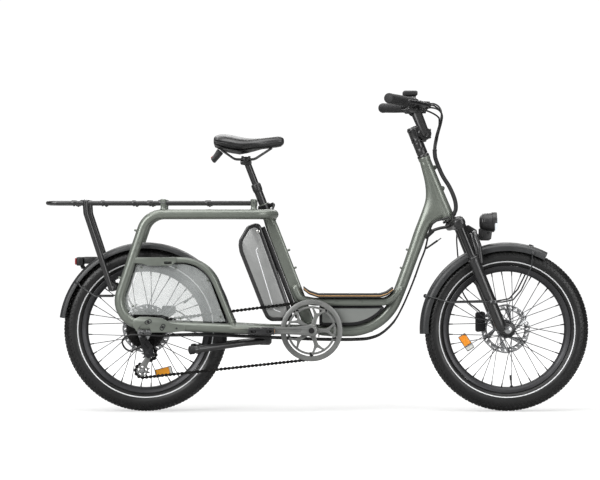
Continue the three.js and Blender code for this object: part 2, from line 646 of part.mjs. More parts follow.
// ---- stand ----
function standBracket() {
  const top = block(-205, -150, -44, 44, 243, 248.5);
  const body = block(-199, -148, -9, 9, 214, 243.5);
  return cut(join(top, body), drum(STAND_PIVOT.x, STAND_PIVOT.z, -12, 12, 5.5, 12));
}
const stays = ['rear_frame_right', 'rear_frame_left'].map((n) => {
  const side = n.endsWith('right') ? -1 : 1;
  return tube(bent([[V(-285, side * LOOP_Y, 270.5)], [V(-140, side * 29, 265), 80], [V(-30, side * 29, 264)]], 6),
    LOOP_R + GAP, 14);
});
add('stand_bracket', cut(standBracket(), ...stays), black);

function standLegs() {
  const legs = [-1, 1].map((side) =>
    tube(bent([[V(-161.5, side * 22, 229)], [V(-236, side * 26, 222), 40], [V(-405, side * 90, 201)]], 3), 11, 8));
  const feet = [-1, 1].map((side) =>
    rod(V(-396, side * 86.5, 202), V(-412, side * 92.7, 200), 13.2, 13.2, 10));
  const bridge = rod(V(-214, -24, 224), V(-214, 24, 224), 7, 7, 8);
  const pin = drum(STAND_PIVOT.x, STAND_PIVOT.z, -34, 34, 5, 12);
  const eyes = [-1, 1].map((side) => drum(STAND_PIVOT.x, STAND_PIVOT.z, side * 10, side * 33, 12.5, 12));
  return join(...legs, ...feet, bridge, pin, ...eyes);
}
add('kickstand_legs', standLegs(), black);

// ---- seat post and saddle ----
const onPost = (z, y = 0) => V(seatX(z), y, z);
const POST_TOP_Z = 736;
function seatpostOuter() {
  const body = rod(onPost(478), onPost(POST_TOP_Z), POST_R, POST_R, 16);
  const nut = rod(onPost(715), onPost(POST_TOP_Z + 1), 15.6, 15.6, 16);
  return cut(join(body, nut), rod(onPost(560), onPost(745), 11.3, 11.3, 14));
}
add('seatpost_outer', seatpostOuter(), black);

// A band with a bolt through its ears, drawn tight round the top of the seat tube.
function seatClamp() {
  const band = rod(onPost(652), onPost(667), 21.5, 21.5, 18);
  const ears = leaningBlock(V(seatX(660) + 25, 0, 668), -SEAT_LEAN, 13, 14, 18);
  const bolt = drum(seatX(660) + 27, 669, -14, 14, 4, 8);
  return cut(join(band, ears, bolt), rod(onPost(630), onPost(690), 17.9, 17.9, 16));
}
add('seat_clamp', seatClamp(), black);

function seatpostInner() {
  const shaft = rod(onPost(640), onPost(806), 11, 11, 14);
  const head = block(-252, -212, -22, 22, 800, 822);
  const rails = [-1, 1].map((side) => {
    const y = side * 22;
    return tube(bent([[V(-312, side * 30, 842)], [V(-268, y, 815), 30], [V(-205, y, 815), 30],
      [V(-150, side * 10, 846)]], 4), 3.5, 8);
  });
  return join(shaft, head, ...rails);
}

function saddle() {
  const rear = new THREE.SphereGeometry(1, 20, 12);
  rear.scale(68, 96, 25);
  rear.translate(-267, 0, 868);
  const nose = new THREE.CapsuleGeometry(22, 118, 4, 14);
  nose.rotateZ(Math.PI / 2);
  nose.scale(1, 1.05, 0.95);
  nose.translate(-190, 0, 869);
  return join(solid(rear), solid(nose));
}
const saddleSolid = saddle();
const saddleGrown = saddleSolid.scale([1.004, 1, 1.0]);
add('seatpost_inner', cut(seatpostInner(), saddleGrown, saddleSolid.translate([0, 0, -0.4])), black);
add('saddle', saddleSolid, padding);

// ---- fork, stem and handlebar ----
function forkCrown() {
  const steerer = rod(forkPoint(-98, 0, 0), forkPoint(236, 0, 0), 14.2, 14.2, 16);
  const middle = forkPoint(238, 12, 0);
  const crown = leaningBlock(middle, -STEER_LEAN, 28, 50, 2 * LEG_Y + 12);
  const legs = [-LEG_Y, LEG_Y].map((y) => rod(forkPoint(220, LEG_OFFSET, y), forkPoint(440, LEG_OFFSET, y), 14, 14, 16));
  const caps = [-LEG_Y, LEG_Y].map((y) => rod(forkPoint(222, LEG_OFFSET, y), forkPoint(254, LEG_OFFSET, y), 18, 18, 16));
  return join(steerer, crown, ...legs, ...caps);
}
add('fork_crown', forkCrown(), black);

function forkLowers() {
  const legs = [-LEG_Y, LEG_Y].map((y) => rod(forkPoint(366, LEG_OFFSET, y), forkPoint(603, LEG_OFFSET, y), 18, 18, 14));
  const arch = tube(bent([[forkPoint(386, 40, -LEG_Y)], [forkPoint(335, 54, -LEG_Y + 2), 40],
    [forkPoint(289, 57, -46), 22], [forkPoint(289, 57, 46), 22], [forkPoint(335, 54, LEG_Y - 2), 40],
    [forkPoint(386, 40, LEG_Y)]], 3), 9, 10);
  const bores = [-LEG_Y, LEG_Y].map((y) => rod(forkPoint(340, LEG_OFFSET, y), forkPoint(500, LEG_OFFSET, y), 14.5, 14.5, 14));
  const ends = [-1, 1].map((side) => {
    const near = side < 0 ? [-60, -50.5] : [50.5, 60];
    const p = (s, off) => {
      const v = forkPoint(s, off, 0);
      return [v.x, v.z];
    };
    return plate([p(592, 8), p(590, 38), p(606, 54), p(628, 54), p(632, 34), p(612, 8)], ...near);
  });
  const axleHole = drum(FRONT.x, FRONT.z, -90, 90, 6.3, 12);
  return cut(join(...legs, arch, ...ends), ...bores, axleHole);
}
add('fork_lowers', forkLowers(), black);

function frontAxle() {
  const nuts = [-1, 1].map((side) => drum(FRONT.x, FRONT.z, side * 60.4, side * 69, 10, 6));
  return join(drum(FRONT.x, FRONT.z, -67, 67, 6, 12), ...nuts);
}
add('front_axle', frontAxle(), steel);
// Each wire runs down from the front edge, across the outside of the fork leg and back up to the rear edge.
const frontStay = [[694, 35, 515], [690, 44, 470], [672, 58, 430], [654, 68, 393], [627, 78, 362], [591, 84.8, 355],
  [537, 84.8, 355], [426, 60, 353], [366, 40, 370], [352, 35, 372]];
add('front_mudguard', join(mudguard(FRONT, 282, 255, 37, 62, 183), ...[-1, 1].map((side) => wire(frontStay, side))),
  darkPlastic);
add('front_caliper', cut(
  caliper(514, 546, 254, 322, 38, FRONT, [block(540, 556, 44, 52, 262, 318)]),
  rod(forkPoint(366, LEG_OFFSET, LEG_Y), forkPoint(608, LEG_OFFSET, LEG_Y), 18.4, 18.4, 16)), black);

function headlight() {
  const z = 611;
  const shell = rod(V(526, 0, z), V(570, 0, z), 26, 32, 20);
  const lens = rod(V(569, 0, z), V(580, 0, z), 30, 27, 20);
  const foot = block(522, 566, -13, 13, 552, 592);
  const arm = block(513, 530, -9, 9, 556, 574);
  const arch = rod(forkPoint(289, 57, -40), forkPoint(289, 57, 40), 9.4, 9.4, 10);
  return cut(join(shell, lens, foot, arm), arch);
}
add('headlight', headlight(), black);

const BAR_CLAMP = V(348, 0, 897.5);
const BAR_KNEE = V(307, -152, 990); // the straight end of the bar starts here
const BAR_END = V(221, -300, 997);
const GRIP_WAY = BAR_END.clone().sub(BAR_KNEE).normalize();
const onGrip = (d) => BAR_KNEE.clone().addScaledVector(GRIP_WAY, d);

const mirrored = (v) => V(v.x, -v.y, v.z);

function handlebar() {
  const right = [[BAR_CLAMP], [V(348, -64, 897.5), 26], [V(319, -112, 968), 26], [BAR_KNEE, 26], [BAR_END]];
  const half = bent(right, 4);
  const path = [...half.slice(1).reverse(), ...half.slice(1).map(mirrored)];
  return tube(path, BAR_R, 12);
}
add('handlebar', handlebar(), black);

function stem() {
  const clamp = rod(forkPoint(-100, 0, 0), forkPoint(-52, 0, 0), 19, 19, 18);
  const barClamp = rod(V(BAR_CLAMP.x, -22, BAR_CLAMP.z), V(BAR_CLAMP.x, 22, BAR_CLAMP.z), 20, 20, 18);
  const neck = rod(forkPoint(-74, 4, 0), forkPoint(-70, 32, 0), 15, 15, 12);
  const bores = [rod(forkPoint(-98.5, 0, 0), forkPoint(-40, 0, 0), 14.6, 14.6, 16),
    rod(V(BAR_CLAMP.x, -30, BAR_CLAMP.z), V(BAR_CLAMP.x, 30, BAR_CLAMP.z), BAR_R + 0.35, BAR_R + 0.35, 14)];
  const cap = rod(forkPoint(-104, 0, 0), forkPoint(-99, 0, 0), 17, 17, 16);
  return join(cut(join(clamp, barClamp, neck), ...bores), cap);
}
add('stem', stem(), black);

const flip = (v, side) => (side < 0 ? v : mirrored(v));

function grip(side) {
  const out = rod(flip(onGrip(31), side), flip(onGrip(177), side), 16, 16, 12);
  return cut(out, rod(flip(onGrip(20), side), flip(onGrip(172), side), BAR_R + 0.4, BAR_R + 0.4, 12));
}

// The clamp, its neck and the fluid reservoir that the lever is pivoted on.
const TANK_A = V(324, -172, 987);
const TANK_B = V(352, -120, 984);
function perch(side) {
  const ring = rod(flip(onGrip(9), side), flip(onGrip(27), side), 16, 16, 14);
  const neck = rod(flip(onGrip(19).add(V(11, 0, -1)), side), flip(V(330, -160, 986), side), 6, 6, 8);
  const tank = rod(flip(TANK_A, side), flip(TANK_B, side), 10, 9, 12);
  const ear = rod(flip(V(333, -160, 987), side), flip(V(354, -164, 989), side), 4.5, 4.5, 8);
  return cut(join(ring, neck, tank, ear), rod(flip(onGrip(-10), side), flip(onGrip(50), side), BAR_R + 0.4, BAR_R + 0.4, 12));
}

function brakeBlade(side) {
  const path = [V(352, -156, 977), V(347, -192, 981), V(321, -240, 984), V(284, -290, 988)].map((v) => flip(v, side));
  return tube(bent([[path[0]], [path[1], 30], [path[2], 90], [path[3]]], 3), 5, 8);
}

for (const [label, side] of [['right', -1], ['left', 1]]) {
  add(`grip_${label}`, grip(side), rubber);
  add(`brake_perch_${label}`, perch(side), black);
  add(`brake_blade_${label}`, brakeBlade(side), black);
}

// The gear shifter's trigger under the right side of the bar.
add('shift_lever', rod(V(300, -150, 970), V(268, -166, 966), 4, 4, 8), black);

// The display stands over the left side of the bar on its own clamp.
function display() {
  const box = block(281, 329, 102, 158, 1028, 1045);
  const leg = rod(V(312, 128, 986), V(308, 129, 1030), 6, 6, 8);
  return cut(join(box, leg, rod(V(314.5, 125, 975), V(311.5, 135, 981), 16, 16, 12)), displayBore());
}
function displayBore() {
  const right = [[V(335.1, -85, 928.6)], [V(319, -112, 968), 26], [BAR_KNEE, 26], [onGrip(40)]];
  return tube(bent(right, 4).map(mirrored), BAR_R + 0.5, 12);
}
add('display', display(), black);

// The braided sleeve that gathers the housings in front of the head tube.
function cableSleeve() {
  const points = [[392, -8, 930], [386, -8, 890], [379, -12, 850], [383, -14, 815], [403, -15, 764], [427, -18, 724],
    [443, -25, 684], [446, -29, 655], [438, -33, 634]];
  const curve = new THREE.CatmullRomCurve3(points.map((p) => V(...p)));
  return tube(curve.getPoints(24), 6.5, 8);
}
add('cable_sleeve', cableSleeve(), rubber);

export default bicycle;
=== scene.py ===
from math import acos, atan2, copysign, cos, exp, hypot, pi, radians, sin, tan

import bpy
from mathutils import Matrix, Vector


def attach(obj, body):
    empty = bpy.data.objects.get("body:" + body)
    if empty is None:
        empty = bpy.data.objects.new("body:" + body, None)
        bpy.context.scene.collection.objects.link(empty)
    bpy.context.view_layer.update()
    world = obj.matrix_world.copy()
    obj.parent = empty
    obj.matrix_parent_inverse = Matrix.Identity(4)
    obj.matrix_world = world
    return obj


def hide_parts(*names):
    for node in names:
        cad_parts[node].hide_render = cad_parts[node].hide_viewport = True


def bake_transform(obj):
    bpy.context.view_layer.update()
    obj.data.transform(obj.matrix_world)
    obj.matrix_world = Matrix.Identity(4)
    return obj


print("frame")
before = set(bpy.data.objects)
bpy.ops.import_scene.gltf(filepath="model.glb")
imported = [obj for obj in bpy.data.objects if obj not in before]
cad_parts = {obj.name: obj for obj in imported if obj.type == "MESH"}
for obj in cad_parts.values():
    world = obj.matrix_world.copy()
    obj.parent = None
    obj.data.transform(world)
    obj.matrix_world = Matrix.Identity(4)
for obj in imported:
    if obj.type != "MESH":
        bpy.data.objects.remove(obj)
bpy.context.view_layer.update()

studio = {
    "eye": (-0.057, -8.3, 0.554),
    "lens": 153.7,
    "paper": (0.45, 0.45, 0.447),
    "sky": (0.9, 0.9, 0.9),
    "skyStrength": 0.16,
    "skySeen": 1.16,
    "lift": 0.5,
    "floorRadius": 60,
    "fade": (1.1, 3.2),
    "exposure": 0.0,
}


def makeCamera():
    bpy.ops.object.camera_add(location=studio["eye"], rotation=(pi / 2, 0, 0))
    camera = bpy.context.object
    camera.data.lens = studio["lens"]
    camera.data.sensor_width = 36
    camera.data.clip_end = 60
    bpy.context.scene.camera = camera


def seenByCamera(tree, seen, unseen):
    # one strength for what the camera sees and another for the light on the object
    ray = tree.nodes.new("ShaderNodeLightPath").outputs["Is Camera Ray"]
    mix = tree.nodes.new("ShaderNodeMix")
    mix.inputs[2].default_value = unseen
    tree.links.new(ray, mix.inputs[0])
    if isinstance(seen, bpy.types.NodeSocket):
        tree.links.new(seen, mix.inputs[3])
    else:
        mix.inputs[3].default_value = seen
    return mix.outputs[0]


def makeFloor():
    deselect()
    bpy.ops.mesh.primitive_circle_add(vertices=96, radius=studio["floorRadius"], fill_type="NGON", location=(0, 0, 0))
    ground = bpy.context.object
    ground.name = "floor"
    paper = bpy.data.materials.new("studioPaper")
    paper.use_nodes = True
    tree = paper.node_tree
    shader = tree.nodes["Principled BSDF"]
    shader.inputs["Base Color"].default_value = (*studio["paper"], 1)
    shader.inputs["Roughness"].default_value = 0.9
    shader.inputs["Specular IOR Level"].default_value = 0.0
    shader.inputs["Emission Color"].default_value = (1, 1, 1, 1)
    # the paper fades into the white round it, away from the object
    place = tree.nodes.new("ShaderNodeTexCoord").outputs["Object"]
    length = tree.nodes.new("ShaderNodeVectorMath")
    length.operation = "LENGTH"
    tree.links.new(place, length.inputs[0])
    fade = tree.nodes.new("ShaderNodeMapRange")
    tree.links.new(length.outputs["Value"], fade.inputs[0])
    for index, value in enumerate((*studio["fade"], studio["lift"], 1.0), 1):
        fade.inputs[index].default_value = value
    tree.links.new(seenByCamera(tree, fade.outputs[0], 0.0), shader.inputs["Emission Strength"])
    ground.data.materials.append(paper)


# name: place, aim, size, watts
lamps = {
    "topSoftbox": ((0.1, -0.6, 3.4), (0, 0, 0.4), (4.6, 2.8), 140),
    "keyLeft": ((-3.2, -3.6, 2.5), (-0.1, 0, 0.5), (3.2, 2.4), 190),
    "fillRight": ((3.4, -4.2, 1.5), (0.1, 0, 0.45), (2.2, 3.0), 100),
    "backRim": ((-0.4, 2.6, 2.6), (0, 0, 0.6), (4.0, 1.4), 50),
}


def makeLamps():
    for name, (place, aim, size, watts) in lamps.items():
        bpy.ops.object.light_add(type="AREA", location=place)
        lamp = bpy.context.object
        lamp.name = name
        lamp.data.shape = "RECTANGLE"
        lamp.data.size, lamp.data.size_y = size
        lamp.data.energy = watts
        lamp.rotation_euler = (Vector(aim) - Vector(place)).to_track_quat("-Z", "Y").to_euler()
    world = bpy.data.worlds.new("studio")
    world.use_nodes = True
    sky = world.node_tree.nodes["Background"]
    sky.inputs["Color"].default_value = (*studio["sky"], 1)
    strength = seenByCamera(world.node_tree, studio["skySeen"], studio["skyStrength"])
    world.node_tree.links.new(strength, sky.inputs["Strength"])
    bpy.context.scene.world = world
    bpy.context.scene.view_settings.view_transform = "Standard"
    bpy.context.scene.view_settings.exposure = studio["exposure"]


def mm(x, y, z):
    return Vector((x, y, z)) / 1000


def deselect():
    if bpy.context.object and bpy.context.object.mode != "OBJECT":
        bpy.ops.object.mode_set(mode="OBJECT")
    bpy.ops.object.select_all(action="DESELECT")


def pick(obj):
    deselect()
    obj.select_set(True)
    bpy.context.view_layer.objects.active = obj
    return obj


def newMesh(name, verts, edges=(), faces=()):
    mesh = bpy.data.meshes.new(name)
    mesh.from_pydata([tuple(v) for v in verts], list(edges), list(faces))
    mesh.update()
    obj = bpy.data.objects.new(name, mesh)
    bpy.context.scene.collection.objects.link(obj)
    return obj


def tidyMesh(obj):
    pick(obj)
    bpy.ops.object.mode_set(mode="EDIT")
    bpy.ops.mesh.select_all(action="SELECT")
    bpy.ops.mesh.remove_doubles(threshold=0.00002)
    bpy.ops.mesh.normals_make_consistent(inside=False)
    bpy.ops.object.mode_set(mode="OBJECT")
    return obj


def modify(obj, kind, **settings):
    pick(obj)
    modifier = obj.modifiers.new(kind, kind)
    for key, value in settings.items():
        setattr(modifier, key, value)
    bpy.ops.object.modifier_apply(modifier=modifier.name)
    return obj


def rounded(obj, width, segments=2):
    return modify(obj, "BEVEL", width=width / 1000, segments=segments, limit_method="ANGLE", angle_limit=radians(30),
                  harden_normals=False)


def copyOf(obj, matrix=None):
    twin = obj.copy()
    twin.data = obj.data.copy()
    bpy.context.scene.collection.objects.link(twin)
    if matrix is not None:
        twin.data.transform(matrix)
        if matrix.determinant() < 0:
            twin.data.flip_normals()
    return twin


def joined(objs):
    deselect()
    for obj in objs:
        obj.select_set(True)
    bpy.context.view_layer.objects.active = objs[0]
    if len(objs) > 1:
        bpy.ops.object.join()
    return objs[0]


otherSide = Matrix.Scale(-1, 4, (0, 1, 0))


def bothSides(obj):
    return joined([obj, copyOf(obj, otherSide)])


def moveBy(obj, move):
    obj.data.transform(Matrix.Translation(move))


def turnAbout(centre, angle, axis="Y"):
    centre = Vector(centre)
    return Matrix.Translation(centre) @ Matrix.Rotation(angle, 4, axis) @ Matrix.Translation(-centre)


def ringOf(obj, count, centre):
    copies = [copyOf(obj, turnAbout(centre, 2 * pi * i / count)) for i in range(1, count)]
    return joined([obj, *copies])


def bent(corners, steps=8):
    # straight runs joined by arcs; each corner is a point and its bend radius in mm
    path = [corners[0][0]]
    for i in range(1, len(corners) - 1):
        corner, radius = corners[i][0], corners[i][1] / 1000
        back = (corners[i - 1][0] - corner).normalized()
        on = (corners[i + 1][0] - corner).normalized()
        half = back.angle(on) / 2
        centre = corner + (back + on).normalized() * radius / sin(half)
        start = corner + back * radius / tan(half) - centre
        end = corner + on * radius / tan(half) - centre
        axis = start.cross(end).normalized()
        for k in range(steps + 1):
            path.append(centre + Matrix.Rotation((pi - 2 * half) * k / steps, 3, axis) @ start)
    path.append(corners[-1][0])
    return path


def flowing(points, steps=6):
    # a smooth run through given points
    out = []
    for i in range(len(points) - 1):
        a, b = points[i], points[i + 1]
        before = points[i - 1] if i else a * 2 - b
        after = points[i + 2] if i + 2 < len(points) else b * 2 - a
        for k in range(steps):
            t = k / steps
            out.append(0.5 * ((2 * a) + (b - before) * t + (2 * before - 5 * a + 4 * b - after) * t * t
                              + (3 * a - before - 3 * b + after) * t ** 3))
    out.append(points[-1])
    return out


def tube(points, radius, sides=20, closed=False, radii=None):
    curve = bpy.data.curves.new("tube", "CURVE")
    curve.dimensions = "3D"
    curve.bevel_depth = radius / 1000
    curve.bevel_resolution = max(0, sides // 4 - 1)
    curve.use_fill_caps = not closed
    spline = curve.splines.new("POLY")
    spline.points.add(len(points) - 1)
    for i, point in enumerate(points):
        spline.points[i].co = (*point, 1)
        spline.points[i].radius = radii[i] if radii else 1
    spline.use_cyclic_u = closed
    obj = bpy.data.objects.new("tube", curve)
    bpy.context.scene.collection.objects.link(obj)
    pick(obj)
    bpy.ops.object.convert(target="MESH")
    return tidyMesh(bpy.context.object)


def rod(a, b, radius, radiusEnd=None, sides=20):
    # a straight round piece between two points
    a, b = Vector(a), Vector(b)
    deselect()
    bpy.ops.mesh.primitive_cone_add(vertices=sides, radius1=radius / 1000,
                                    radius2=(radius if radiusEnd is None else radiusEnd) / 1000,
                                    depth=(b - a).length, location=(a + b) / 2,
                                    rotation=(b - a).to_track_quat("Z", "Y").to_euler())
    bpy.ops.object.transform_apply(location=True, rotation=True, scale=True)
    return bpy.context.object


def drum(x, z, y0, y1, radius, sides=32, edge=0.0):
    obj = rod(mm(x, y0, z), mm(x, y1, z), radius, sides=sides)
    return rounded(obj, edge, 2) if edge else obj


def block(x0, x1, y0, y1, z0, z1, edge=1.5, segments=3, lean=0.0):
    deselect()
    bpy.ops.mesh.primitive_cube_add(size=1, location=mm((x0 + x1) / 2, (y0 + y1) / 2, (z0 + z1) / 2),
                                    scale=mm(x1 - x0, y1 - y0, z1 - z0), rotation=(0, lean, 0))
    bpy.ops.object.transform_apply(location=True, rotation=True, scale=True)
    return rounded(bpy.context.object, edge, segments)


def spun(profile, origin, axis=(0, 1, 0), steps=64, angle=2 * pi, closed=False):
    # profile is [radius, distance along the axis] pairs in mm
    origin, axis = Vector(origin), Vector(axis).normalized()
    side = Vector((0, 0, 1)) if abs(axis.z) < 0.5 else axis.orthogonal().normalized()
    side = (side - axis * side.dot(axis)).normalized()
    verts = [origin + axis * along / 1000 + side * radius / 1000 for radius, along in profile]
    count = len(verts)
    edges = [(i, i + 1) for i in range(count - 1)] + ([(count - 1, 0)] if closed else [])
    obj = newMesh("spun", verts, edges)
    pick(obj)
    bpy.ops.object.mode_set(mode="EDIT")
    bpy.ops.mesh.select_all(action="SELECT")
    bpy.ops.mesh.spin(steps=steps, angle=angle, center=origin, axis=axis)
    bpy.ops.object.mode_set(mode="OBJECT")
    return tidyMesh(obj)


def plate(outlines, y0, y1, edge=0.4):
    # the first outline is the edge and the others are holes in it, all in x and z
    curve = bpy.data.curves.new("plate", "CURVE")
    curve.dimensions = "2D"
    curve.fill_mode = "BOTH"
    for outline in outlines:
        spline = curve.splines.new("POLY")
        spline.points.add(len(outline) - 1)
        for i, (x, z) in enumerate(outline):
            spline.points[i].co = (x / 1000, z / 1000, 0, 1)
        spline.use_cyclic_u = True
    curve.extrude = max(0.00005, abs(y1 - y0) / 2000 - edge / 1000)
    curve.bevel_depth = edge / 1000
    curve.bevel_resolution = 1
    curve.offset = -edge / 1000
    obj = bpy.data.objects.new("plate", curve)
    bpy.context.scene.collection.objects.link(obj)
    pick(obj)
    bpy.ops.object.convert(target="MESH")
    obj = bpy.context.object
    obj.data.transform(Matrix.Translation((0, (y0 + y1) / 2000, 0)) @ Matrix.Rotation(pi / 2, 4, "X"))
    return tidyMesh(obj)


def loft(rings):
    count = len(rings[0])
    verts = [p for ring in rings for p in ring]
    faces = [(r * count + k, r * count + (k + 1) % count, (r + 1) * count + (k + 1) % count, (r + 1) * count + k)
             for r in range(len(rings) - 1) for k in range(count)]
    faces += [tuple(range(count)), tuple((len(rings) - 1) * count + k for k in reversed(range(count)))]
    return tidyMesh(newMesh("loft", verts, faces=faces))


def arc(cx, cz, radius, start, end, steps):
    return [(cx + radius * cos(radians(start + (end - start) * i / steps)),
             cz + radius * sin(radians(start + (end - start) * i / steps))) for i in range(steps + 1)]


def circle(cx, cz, radius, count=32):
    return arc(cx, cz, radius, 0, 360 * (count - 1) / count, count - 1)


def slotShape(cx, cz, length, width, tilt, steps=6):
    # a hole with round ends
    half = length / 2 - width / 2
    shape = arc(half, 0, width / 2, -90, 90, steps) + arc(-half, 0, width / 2, 90, 270, steps)
    c, s = cos(radians(tilt)), sin(radians(tilt))
    return [(cx + x * c - z * s, cz + x * s + z * c) for x, z in shape]


def settle(obj, name, finishName, body, replaced=(), smooth=38):
    # the last step for each piece, or list of shapes: its name, finish, body and what it stands for
    if not isinstance(obj, bpy.types.Object):
        obj = joined(obj)
    pick(obj)
    bpy.ops.object.transform_apply(location=True, rotation=True, scale=True)
    obj.name = obj.data.name = name
    obj.data.materials.clear()
    obj.data.materials.append(finish[finishName])
    bpy.ops.object.shade_smooth_by_angle(angle=radians(smooth))
    if body:
        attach(obj, body)
    if replaced:
        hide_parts(*replaced)
    return obj


def hexBolt(centre, axis, size=4.0, height=3.0, recess=True):
    # a round-headed screw with a hex socket in it
    axis = Vector(axis).normalized()
    head = [(0, height * 0.45), (size * 0.42, height * 0.45), (size * 0.46, height), (size * 0.85, height),
            (size, height * 0.7), (size, 0), (0, 0)] if recess else [
        (0, height), (size * 0.7, height), (size, height * 0.6), (size, 0), (0, 0)]
    return spun(head, centre, axis, steps=12)


def boltsAt(y, spots, axis, size, height):
    return [hexBolt(mm(x, y, z), axis, size, height) for x, z in spots]


def hexNut(centre, axis, size=8.0, height=6.0):
    nut = rod(Vector(centre), Vector(centre) + Vector(axis).normalized() * height / 1000, size, sides=6)
    return rounded(nut, size * 0.09, 2)


headTop = (343.8, 822.6)  # where the steering axis leaves the head tube
leanSin, leanCos = 0.374607, 0.927184  # the steering axis is 22 degrees off upright
steerDown = Vector((leanSin, 0, -leanCos))
steerAhead = Vector((leanCos, 0, leanSin))
seatUp = Vector((-0.358368, 0, 0.93358))
seatAcross = Vector((seatUp.z, 0, -seatUp.x))


def inForkFrame(s, ahead, y):
    # s runs down the steering axis from the top of the head tube
    return mm(headTop[0] + leanSin * s + leanCos * ahead, y, headTop[1] - leanCos * s + leanSin * ahead)


def onSeatTube(z, y=0.0):
    return mm(-20 - 0.383864 * (z - 263), y, z)


def tone(r, g, b):
    return tuple(((c / 255 + 0.055) / 1.055) ** 2.4 if c > 10 else c / 3294.6 for c in (r, g, b)) + (1,)


def addNode(tree, kind, links=None, **settings):
    node = tree.nodes.new("ShaderNode" + kind)
    for key, value in settings.items():
        setattr(node, key, value)
    for socket, source in (links or {}).items():
        if isinstance(source, bpy.types.NodeSocket):
            tree.links.new(source, node.inputs[socket])
        else:
            node.inputs[socket].default_value = source
    return node


def nodeGroup(name, inputs, outputs):
    group = bpy.data.node_groups.new(name, "ShaderNodeTree")
    for label, value in inputs:
        kind = "NodeSocketColor" if isinstance(value, tuple) else "NodeSocketFloat"
        group.interface.new_socket(name=label, in_out="INPUT", socket_type=kind).default_value = value
    for label, kind in outputs:
        group.interface.new_socket(name=label, in_out="OUTPUT", socket_type=kind)
    return group, group.nodes.new("NodeGroupInput").outputs, group.nodes.new("NodeGroupOutput").inputs


def mathNode(tree, operation, a, b, clamp=False):
    return addNode(tree, "Math", {0: a, 1: b}, operation=operation, use_clamp=clamp).outputs[0]


def softStep(tree, value, low, high):
    return addNode(tree, "MapRange", {0: value, 1: low, 2: high}, clamp=True).outputs[0]


def blendColours(tree, share, a, b):
    node = addNode(tree, "Mix", data_type="RGBA")
    for index, source in ((0, share), (6, a), (7, b)):
        if isinstance(source, bpy.types.NodeSocket):
            tree.links.new(source, node.inputs[index])
        else:
            node.inputs[index].default_value = source
    return node.outputs[2]


def objectNoise(tree, scale, detail=3.0):
    place = addNode(tree, "TexCoord").outputs["Object"]
    return addNode(tree, "TexNoise", {"Vector": place, "Scale": scale, "Detail": detail}).outputs["Fac"]


def makeGroups():
    white = (1, 1, 1, 1)
    aged, given, out = nodeGroup(
        "agedColour",
        [("Main", white), ("Second", white), ("Rubbed", white), ("Scale", 9.0), ("Rub", 0.2), ("Dust", 0.05)],
        [("Color", "NodeSocketColor")])
    cloud = softStep(aged, objectNoise(aged, given["Scale"], 4.0), 0.32, 0.68)
    colour = blendColours(aged, cloud, given["Main"], given["Second"])
    shape = addNode(aged, "NewGeometry")
    edge = softStep(aged, shape.outputs["Pointiness"], 0.53, 0.6)
    patchy = softStep(aged, objectNoise(aged, 60.0), 0.42, 0.62)
    rub = mathNode(aged, "MULTIPLY", mathNode(aged, "MULTIPLY", edge, patchy), given["Rub"], True)
    colour = blendColours(aged, rub, colour, given["Rubbed"])
    upward = softStep(aged, addNode(aged, "SeparateXYZ", {0: shape.outputs["Normal"]}).outputs["Z"], 0.45, 1.0)
    settled = mathNode(aged, "MULTIPLY", mathNode(aged, "MULTIPLY", upward, objectNoise(aged, 140.0)), given["Dust"],
                       True)
    colour = blendColours(aged, settled, colour, tone(196, 194, 186))
    aged.links.new(colour, out["Color"])

    rough, given, out = nodeGroup("mottledRough", [("Low", 0.3), ("High", 0.5), ("Scale", 30.0)],
                                  [("Roughness", "NodeSocketFloat")])
    cloud = softStep(rough, objectNoise(rough, given["Scale"], 5.0), 0.3, 0.7)
    range_ = mathNode(rough, "MULTIPLY", cloud, mathNode(rough, "SUBTRACT", given["High"], given["Low"]))
    rough.links.new(mathNode(rough, "ADD", range_, given["Low"]), out["Roughness"])

    grain, given, out = nodeGroup("fineGrain", [("Scale", 800.0), ("Depth", 0.5)], [("Height", "NodeSocketFloat")])
    fine = objectNoise(grain, given["Scale"], 2.0)
    broad = objectNoise(grain, mathNode(grain, "MULTIPLY", given["Scale"], 0.07), 2.0)
    total = mathNode(grain, "ADD", fine, mathNode(grain, "MULTIPLY", broad, 0.6))
    grain.links.new(mathNode(grain, "MULTIPLY", total, given["Depth"]), out["Height"])
    return {"agedColour": aged, "mottledRough": rough, "fineGrain": grain}


def ridges(tree, direction="Z", scale=120.0, kind="BANDS", centre=(0, 0, 0), turn=(0, 0, 0)):
    place = addNode(tree, "TexCoord").outputs["Object"]
    shifted = addNode(tree, "Mapping", {"Vector": place, "Location": tuple(-c for c in centre), "Rotation": turn})
    wave = addNode(tree, "TexWave", {"Vector": shifted.outputs[0], "Scale": scale, "Distortion": 0.4, "Detail": 1.0},
                   wave_type=kind)
    if kind == "BANDS":
        wave.bands_direction = direction
    else:
        wave.rings_direction = direction
    return wave.outputs["Fac"]


def cells(tree, scale, feature="F1", randomness=0.0):
    place = addNode(tree, "TexCoord").outputs["Object"]
    return addNode(tree, "TexVoronoi", {"Vector": place, "Scale": scale, "Randomness": randomness},
                   feature=feature).outputs["Distance"]


def rotorBrush(tree, centre):
    return ridges(tree, "Y", 260.0, "RINGS", centre)


def weave(tree):
    one = ridges(tree, "X", 115.0, turn=(0, 0.9, 0))
    two = ridges(tree, "X", 115.0, turn=(0, -0.9, 0))
    return mathNode(tree, "MULTIPLY", one, two)


def hide(tree):
    return softStep(tree, cells(tree, 420.0, "DISTANCE_TO_EDGE", 1.0), 0.0, 0.16)


def gripDots(tree):
    return softStep(tree, cells(tree, 150.0), 0.42, 0.3)


def plyLines(tree):
    return ridges(tree, "Z", 105.0)


